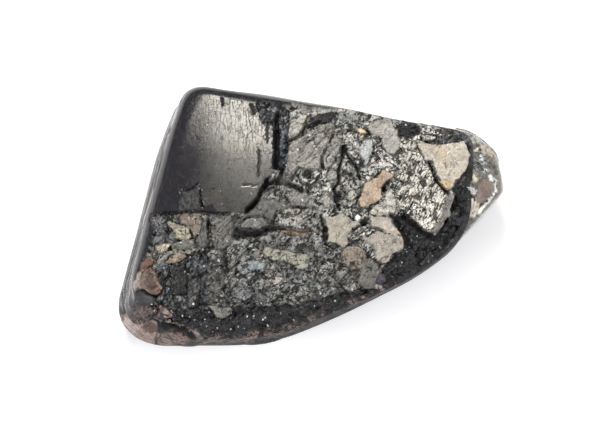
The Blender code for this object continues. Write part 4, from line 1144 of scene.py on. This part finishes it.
class Nodes:
    """The nodes of one material or of the sky."""

    def __init__(self, holder):
        holder.use_nodes = True
        self.tree = holder.node_tree
        self.tree.nodes.clear()

    def add(self, kind, settings=None, values=None, output=0):
        """A new node: its settings first, then the values or links of its sockets.

        Gives one of its outputs, or the whole node.
        """
        node = self.tree.nodes.new(kind)
        for name, setting in (settings or {}).items():
            setattr(node, name, setting)
        for name, value in (values or {}).items():
            if isinstance(value, Signal):
                self.tree.links.new(value.socket, node.inputs[name])
            else:
                node.inputs[name].default_value = value
        return node if output is None else Signal(self, node.outputs[output])

    def attribute(self, name, output):
        return self.add("ShaderNodeAttribute", {"attribute_name": name}, {}, output)

    def parts(self, vector):
        """The three values of a vector, each as a signal."""
        return [self.add("ShaderNodeSeparateXYZ", {}, {0: vector}, part) for part in range(3)]

    def joined(self, x, y, z):
        return self.add("ShaderNodeCombineXYZ", {}, {0: x, 1: y, 2: z})

    def place(self):
        """Places on the piece, in millimetres."""
        place = self.add("ShaderNodeTexCoord", {}, {}, "Object")
        return self.scaled(place, (1.0 / MM,) * 3)

    def scaled(self, vector, factors):
        return self.vector_maths("MULTIPLY", vector, factors)

    def noise(self, place, scale, detail=3.0, roughness=0.55):
        values = {"Vector": place, "Scale": scale, "Detail": detail, "Roughness": roughness}
        return self.add("ShaderNodeTexNoise", {}, values)

    def cell_gaps(self, place, scale, width):
        """1 where the nearest edge of a cell is nearer than a width, 0 beyond."""
        settings = {"feature": "DISTANCE_TO_EDGE"}
        edge = self.add("ShaderNodeTexVoronoi", settings, {"Vector": place, "Scale": scale})
        return (width - edge).rise(-0.01, 0.02)

    def bent(self, place, scale, swing):
        """Places pushed about smoothly."""
        values = {"Vector": place, "Scale": scale, "Detail": 2.0}
        colour = self.add("ShaderNodeTexNoise", {}, values, "Color")
        push = self.vector_maths("SUBTRACT", colour, (0.5,) * 3)
        return self.vector_maths("ADD", place, self.scaled(push, (2.0 * swing,) * 3))

    def fragments(self, place, scale):
        """Flat fragments that each tip their own way.

        Gives three random numbers of each, the height of its slope and how far its middle is.
        """
        node = self.add("ShaderNodeTexVoronoi", {}, {"Vector": place, "Scale": scale}, None)
        outputs = [node.outputs[name] for name in ("Color", "Position", "Distance")]
        chance, middle, away = (Signal(self, output) for output in outputs)
        tip = self.vector_maths("SUBTRACT", chance, (0.5,) * 3)
        way = self.vector_maths("SUBTRACT", place, middle)
        return self.parts(chance), self.vector_maths("DOT_PRODUCT", way, tip, "Value"), away

    def darkest(self, first, second):
        """The larger of two masks."""
        return self.add("ShaderNodeMath", {"operation": "MAXIMUM"}, {0: first, 1: second})

    def vector_maths(self, operation, first, second, output="Vector"):
        """Two vectors added, subtracted or multiplied."""
        settings = {"operation": operation}
        return self.add("ShaderNodeVectorMath", settings, {0: first, 1: second}, output)

    def mix(self, factor, first, second):
        """Two colours mixed."""
        values = {MIX_FACTOR: factor, MIX_FIRST: first, MIX_SECOND: second}
        return self.add("ShaderNodeMix", {"data_type": "RGBA"}, values, MIX_RESULT)

    def toned(self, colour, tone):
        """A colour made lighter or darker by a signal."""
        settings = {"operation": "SCALE"}
        return self.add("ShaderNodeVectorMath", settings, {0: colour, "Scale": tone})

    def surface(self, values):
        shader = self.add("ShaderNodeBsdfPrincipled", {}, values)
        self.add("ShaderNodeOutputMaterial", {}, {"Surface": shader}, None)

    def bumps(self, height):
        """Normals of bumps whose height is in millimetres."""
        return self.add("ShaderNodeBump", {}, {"Strength": 1.0, "Distance": MM, "Height": height})


def new_material(name):
    material = bpy.data.materials.new(name)
    return material, Nodes(material)


def stone_material(name, settings):
    """Black glassy stone with pale minerals in its face."""
    material, nodes = new_material(name)
    place = nodes.place()
    roughness, specks, strokes = nodes.parts(nodes.attribute("finish", "Vector"))
    cracks, tips, joints_and_shade = nodes.parts(nodes.attribute("breaks", "Vector"))
    along, across, on_left = nodes.parts(nodes.attribute("grain", "Vector"))
    pepper, flecks, broken = nodes.parts(nodes.attribute("crumbs", "Vector"))
    _, _, up = nodes.parts(place)
    grain_place = nodes.joined(along * 0.3, across * 1.9, up * 0.3)
    split_place = nodes.joined(along * 0.5, across * 1.5, up * 0.3)
    bent = nodes.bent(place, 1.7, 0.35)
    bent_grain = nodes.bent(split_place, 1.7, 0.35)

    mottle = nodes.noise(place, 0.8, 4.0)
    fine = nodes.noise(place, 5.0, 3.0, 0.7)
    patchy = nodes.noise(place, 0.9, 2.0)
    large_chance, large_facet, _ = nodes.fragments(bent, 1.9)
    small_chance, small_facet, small_away = nodes.fragments(bent, 4.4)
    large_tone, large_share, _ = large_chance
    small_tone, small_share, small_glint = small_chance
    pepper_mask = (pepper * patchy * 2.0 - small_share).rise(-0.02, 0.02)
    pepper_mask = nodes.darkest(pepper_mask, (pepper * 0.7 - large_share).rise(-0.01, 0.01))
    # White flecks on the small fragments: painted glints where light would catch tiny facets
    glint_mask = (flecks * 0.06 - small_glint).rise(-0.005, 0.005)
    glint_mask = glint_mask * (0.36 - small_away).rise(-0.05, 0.05)

    speck_mask = nodes.noise(place, 5.5, 1.5).rise(0.56, 0.62) * patchy.rise(0.35, 0.6) * specks
    stroke_noise = nodes.noise(grain_place, 3.2, 3.0, 0.65)
    stroke_mask = stroke_noise.rise(0.56, 0.61) * strokes
    # Lighter streaks between the dark strokes: painted highlight streaks of the polished grain
    highlight_streak_mask = stroke_noise.rise(0.46, 0.36) * strokes
    wide = nodes.noise(place, 1.1, 2.0).rise(0.42, 0.66) * cracks
    thin = nodes.noise(place, 2.0, 2.0).rise(0.4, 0.62) * cracks
    crack_mask = nodes.darkest(
        nodes.cell_gaps(bent_grain, 1.0, wide * 0.12),
        nodes.cell_gaps(bent, 2.7, thin * 0.13),
    )
    woven = nodes.noise(nodes.scaled(place, (11.0, 1.4, 3.0)), 1.0, 2.0) * 0.5
    woven = woven + nodes.noise(nodes.scaled(place, (1.4, 9.0, 3.0)), 1.0, 2.0) * 0.5
    left_lines = nodes.noise(nodes.scaled(place, (0.1, 0.12, 4.2)), 1.0, 3.0, 0.7)

    tone = (mottle - 0.5) * 0.8 + (fine - 0.5) * (1.6 - strokes * 0.7) + (woven - 0.5) * 0.7 + 1.0
    tone = tone + highlight_streak_mask * 0.35 + (large_tone - 0.5) * tips * 1.1
    tone = tone + (small_tone - 0.5) * (tips * 0.8 + 0.2)
    # Darkening of the colour: dark joints, with painted shade in cracks and pits, then the real dark
    # specks, strokes, cracks and black fragments
    shade = (1.0 - joints_and_shade * 0.93) * (1.0 - speck_mask * 0.85) * (1.0 - stroke_mask * 0.8)
    shade = shade * (1.0 - crack_mask * 0.9) * (1.0 - pepper_mask * 0.93)
    stain = nodes.noise(place, 0.55, 4.0, 0.6).rise(0.52, 0.7) * 0.5
    mineral = nodes.attribute("mineral", "Color")
    mineral = nodes.mix(stain, mineral, nodes.scaled(mineral, (1.05, 0.88, 0.68)))
    cool = nodes.scaled(mineral, (0.88, 0.97, 1.0))
    mineral = nodes.mix(large_share.rise(0.6, 0.75) * broken, mineral, cool)
    colour = nodes.toned(mineral, tone * shade)
    # Painted glints in their light colour
    colour = nodes.mix(glint_mask, colour, (*settings.glint_colour, 1.0))
    # Light lines on the left wall: pale veins, with painted reflection of the bright floor in their colour
    vein_and_sheen_line = left_lines.rise(0.535, 0.57) * mottle.rise(0.36, 0.52) * on_left
    colour = nodes.mix(vein_and_sheen_line, colour, (*settings.vein_and_sheen_colour, 1.0))

    height = (woven - 0.5) * 0.003 + (fine - 0.5) * (tips * 0.12 + 0.003)
    height = height - speck_mask * (tips * 0.2 + 0.004) - stroke_mask * 0.015
    height = height - crack_mask * 0.05 - pepper_mask * 0.05
    height = height + large_facet * tips * 0.8 + small_facet * tips * 0.8
    height = height + (left_lines - 0.5) * on_left * 0.5
    gloss = roughness + (mottle - 0.5) * 0.1 + speck_mask * 0.4 + (fine - 0.5) * 0.1
    gloss = gloss + joints_and_shade * 0.3 + stroke_mask * 0.4 + crack_mask * 0.3 - pepper_mask * 0.1
    nodes.surface({
        "Base Color": colour,
        "Roughness": gloss,
        "IOR": STONE_IOR,
        "Normal": nodes.bumps(height),
    })
    return material


def end_material(settings):
    """Clear smoky quartz."""
    material, nodes = new_material("smoky_quartz")
    shader = nodes.add("ShaderNodeBsdfPrincipled", {}, {
        "Base Color": WHITE,
        "Roughness": END_ROUGHNESS,
        "IOR": END_IOR,
        "Transmission Weight": 1.0,
        "Normal": nodes.bumps(nodes.noise(nodes.place(), 1.1, 3.0) * END_WAVES),
    })
    smoke = nodes.add("ShaderNodeVolumeAbsorption", {}, {
        "Color": (*settings.smoke_colour, 1.0),
        "Density": settings.smoke_density,
    })
    nodes.add("ShaderNodeOutputMaterial", {}, {"Surface": shader, "Volume": smoke}, None)
    return material


def floor_material(settings):
    """Plain pale board."""
    material, nodes = new_material("floor")
    mottle = nodes.noise(nodes.place(), 0.02, 2.0)
    nodes.surface({
        "Base Color": nodes.mix(mottle, FLOOR_DARKEST, FLOOR_PALEST),
        "Roughness": FLOOR_ROUGHNESS,
        "Emission Color": WHITE,
        "Emission Strength": settings.floor_glow,
    })
    return material


def finish_piece(piece, material, smooth_angle):
    """Shades a piece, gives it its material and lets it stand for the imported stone."""
    bpy.ops.object.select_all(action="DESELECT")
    piece.select_set(True)
    bpy.context.view_layer.objects.active = piece
    bpy.ops.object.shade_smooth_by_angle(angle=smooth_angle)
    piece.data.materials.clear()
    piece.data.materials.append(material)
    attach(piece, BODY)
    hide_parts(STONE_NODE)


def add_softbox(name, heading, elevation, size, light, colour):
    """A soft light that shines at the stone from one side, as bright however large it is."""
    way = Vector(outward(heading, elevation))
    bpy.ops.object.select_all(action="DESELECT")
    bpy.ops.object.light_add(type="AREA", location=way * SOFTBOX_DISTANCE)
    lamp = bpy.context.object
    lamp.name = name
    lamp.rotation_euler = way.to_track_quat("Z", "Y").to_euler()
    lamp.data.shape = "RECTANGLE"
    lamp.data.size, lamp.data.size_y = size
    lamp.data.energy = light * math.pi * size[0] * size[1]
    lamp.data.color = colour
    lamp.visible_camera = False


def paint_sky(settings):
    """Soft light from all round, a touch bluer overhead."""
    world = bpy.data.worlds.new("studio_sky")
    bpy.context.scene.world = world
    nodes = Nodes(world)
    _, _, height = nodes.parts(nodes.add("ShaderNodeTexCoord", {}, {}, "Generated"))
    shade = nodes.mix(height.rise(*SKY_RISE), SKY_LOW, SKY_HIGH)
    light = nodes.add("ShaderNodeBackground", {}, {"Color": shade, "Strength": settings.sky_light})
    nodes.add("ShaderNodeOutputWorld", {}, {"Surface": light}, None)


def add_camera(settings):
    """The camera at the picture's angle."""
    bpy.ops.object.select_all(action="DESELECT")
    bpy.ops.object.camera_add(location=Vector((camera_place() + np.array(FACE_MIDDLE)) * MM))
    camera = bpy.context.object
    camera.name = "studio_camera"
    camera.rotation_euler = (math.radians(90.0 - CAMERA_ELEVATION), 0.0, 0.0)
    camera.data.lens = settings.camera_lens
    camera.data.sensor_width = CAMERA_SENSOR
    camera.data.clip_start, camera.data.clip_end = CAMERA_CLIP
    bpy.context.scene.camera = camera


def add_floor(settings):
    """The pale board that the stone lies on."""
    bpy.ops.object.select_all(action="DESELECT")
    bpy.ops.mesh.primitive_plane_add(size=settings.floor_size, location=(0.0, 0.0, -FLOOR_GAP))
    bpy.ops.object.transform_apply(location=True, rotation=True, scale=True)
    floor = bpy.context.object
    floor.name = "floor"
    floor.data.materials.append(floor_material(settings))


class StoneSettings(bpy.types.PropertyGroup):
    """What a user would change of the stone."""

    ridge_height: bpy.props.FloatProperty(
        name="Ridge height",
        description="How far the ridges of the left wall stand out",
        subtype="DISTANCE",
        unit="LENGTH",
        default=0.11 * MM,
        precision=5,
        min=0.0,
    )
    smooth_angle: bpy.props.FloatProperty(
        name="Smooth angle",
        description="Edges sharper than this stay sharp",
        subtype="ANGLE",
        default=math.radians(38.0),
        min=0.0,
        max=math.pi,
    )
    # The flecks are painted glints, white spots where light would catch tiny facets
    glint_colour: bpy.props.FloatVectorProperty(
        name="Fleck colour",
        description="Colour of the tiny white flecks in the broken face",
        subtype="COLOR",
        size=3,
        default=(0.75, 0.77, 0.8),
        min=0.0,
        max=1.0,
    )
    # The left wall's light lines are pale veins with painted reflection of the bright floor
    vein_and_sheen_colour: bpy.props.FloatVectorProperty(
        name="Line colour",
        description="Colour of the light lines along the left wall",
        subtype="COLOR",
        size=3,
        default=(0.52, 0.5, 0.55),
        min=0.0,
        max=1.0,
    )
    smoke_colour: bpy.props.FloatVectorProperty(
        name="Smoke colour",
        description="Colour that the clear end lets through",
        subtype="COLOR",
        size=3,
        default=(0.61, 0.5, 0.42),
        min=0.0,
        max=1.0,
    )
    smoke_density: bpy.props.FloatProperty(
        name="Smoke density",
        description="How strongly the clear end takes light away, per metre",
        default=900.0,
        min=0.0,
    )


class StudioSettings(bpy.types.PropertyGroup):
    """What a user would change of the studio."""

    softbox_light: bpy.props.FloatProperty(
        name="Softbox light",
        description="Brightness of the large soft light",
        default=18.0,
        min=0.0,
    )
    sky_light: bpy.props.FloatProperty(
        name="Sky light",
        description="Brightness of the light from all round",
        default=1.0,
        min=0.0,
    )
    floor_size: bpy.props.FloatProperty(
        name="Floor size",
        description="Length of the floor's sides",
        subtype="DISTANCE",
        unit="LENGTH",
        default=3.0,
        min=0.0,
    )
    camera_lens: bpy.props.FloatProperty(
        name="Camera lens",
        description="Focal length of the camera",
        subtype="DISTANCE_CAMERA",
        unit="CAMERA",
        default=150.0,
        min=1.0,
    )
    floor_glow: bpy.props.FloatProperty(
        name="Floor glow",
        description="How brightly the floor shines by itself",
        default=0.25,
        min=0.0,
    )


class SMOKYSTONE_OT_black_stone(bpy.types.Operator):
    """Adds the black stone with its broken, polished face"""

    bl_idname = "smoky_stone.black_stone"
    bl_label = "Black Stone"
    bl_options = {"REGISTER", "UNDO"}

    def execute(self, context):
        settings = context.scene.smoky_stone
        material = stone_material("black_stone", settings)
        finish_piece(black_stone(settings), material, settings.smooth_angle)
        return {"FINISHED"}


class SMOKYSTONE_OT_smoky_end(bpy.types.Operator):
    """Adds the clear smoky end and its cloudy heart"""

    bl_idname = "smoky_stone.smoky_end"
    bl_label = "Smoky End"
    bl_options = {"REGISTER", "UNDO"}

    def execute(self, context):
        settings = context.scene.smoky_stone
        finish_piece(smoky_end(), end_material(settings), settings.smooth_angle)
        material = stone_material("end_heart", settings)
        finish_piece(end_heart(), material, settings.smooth_angle)
        return {"FINISHED"}


class SMOKYSTONE_OT_studio(bpy.types.Operator):
    """Adds the floor, the soft lights and the camera"""

    bl_idname = "smoky_stone.studio"
    bl_label = "Studio"
    bl_options = {"REGISTER", "UNDO"}

    def execute(self, context):
        settings = context.scene.smoky_studio
        context.scene.view_settings.view_transform = "Standard"
        add_floor(settings)
        paint_sky(settings)
        for name, (heading, elevation, size, share, colour) in SOFTBOXES.items():
            light = settings.softbox_light * share
            add_softbox(name, heading, elevation, size, light, colour)
        add_camera(settings)
        return {"FINISHED"}


class SMOKYSTONE_PT_pieces(bpy.types.Panel):
    """Lists the stone's pieces and its studio"""

    bl_label = "Smoky Stone"
    bl_idname = "SMOKYSTONE_PT_pieces"
    bl_space_type = "VIEW_3D"
    bl_region_type = "UI"
    bl_category = "Stone"

    def draw(self, context):
        layout = self.layout
        for step in STEPS:
            layout.operator(step.bl_idname)
        for group in (context.scene.smoky_stone, context.scene.smoky_studio):
            for name in group.__annotations__:
                layout.prop(group, name)


STEPS = (SMOKYSTONE_OT_black_stone, SMOKYSTONE_OT_smoky_end, SMOKYSTONE_OT_studio)
CLASSES = (StoneSettings, StudioSettings, *STEPS, SMOKYSTONE_PT_pieces)


def register():
    for added in CLASSES:
        bpy.utils.register_class(added)
    bpy.types.Scene.smoky_stone = bpy.props.PointerProperty(type=StoneSettings)
    bpy.types.Scene.smoky_studio = bpy.props.PointerProperty(type=StudioSettings)


def unregister():
    del bpy.types.Scene.smoky_studio
    del bpy.types.Scene.smoky_stone
    for added in reversed(CLASSES):
        bpy.utils.unregister_class(added)


def main():
    register()
    for step in STEPS:
        group, name = step.bl_idname.split(".")
        if getattr(getattr(bpy.ops, group), name)() != {"FINISHED"}:
            raise RuntimeError(f"{step.bl_label} could not be made")


if __name__ == "__main__":
    main()
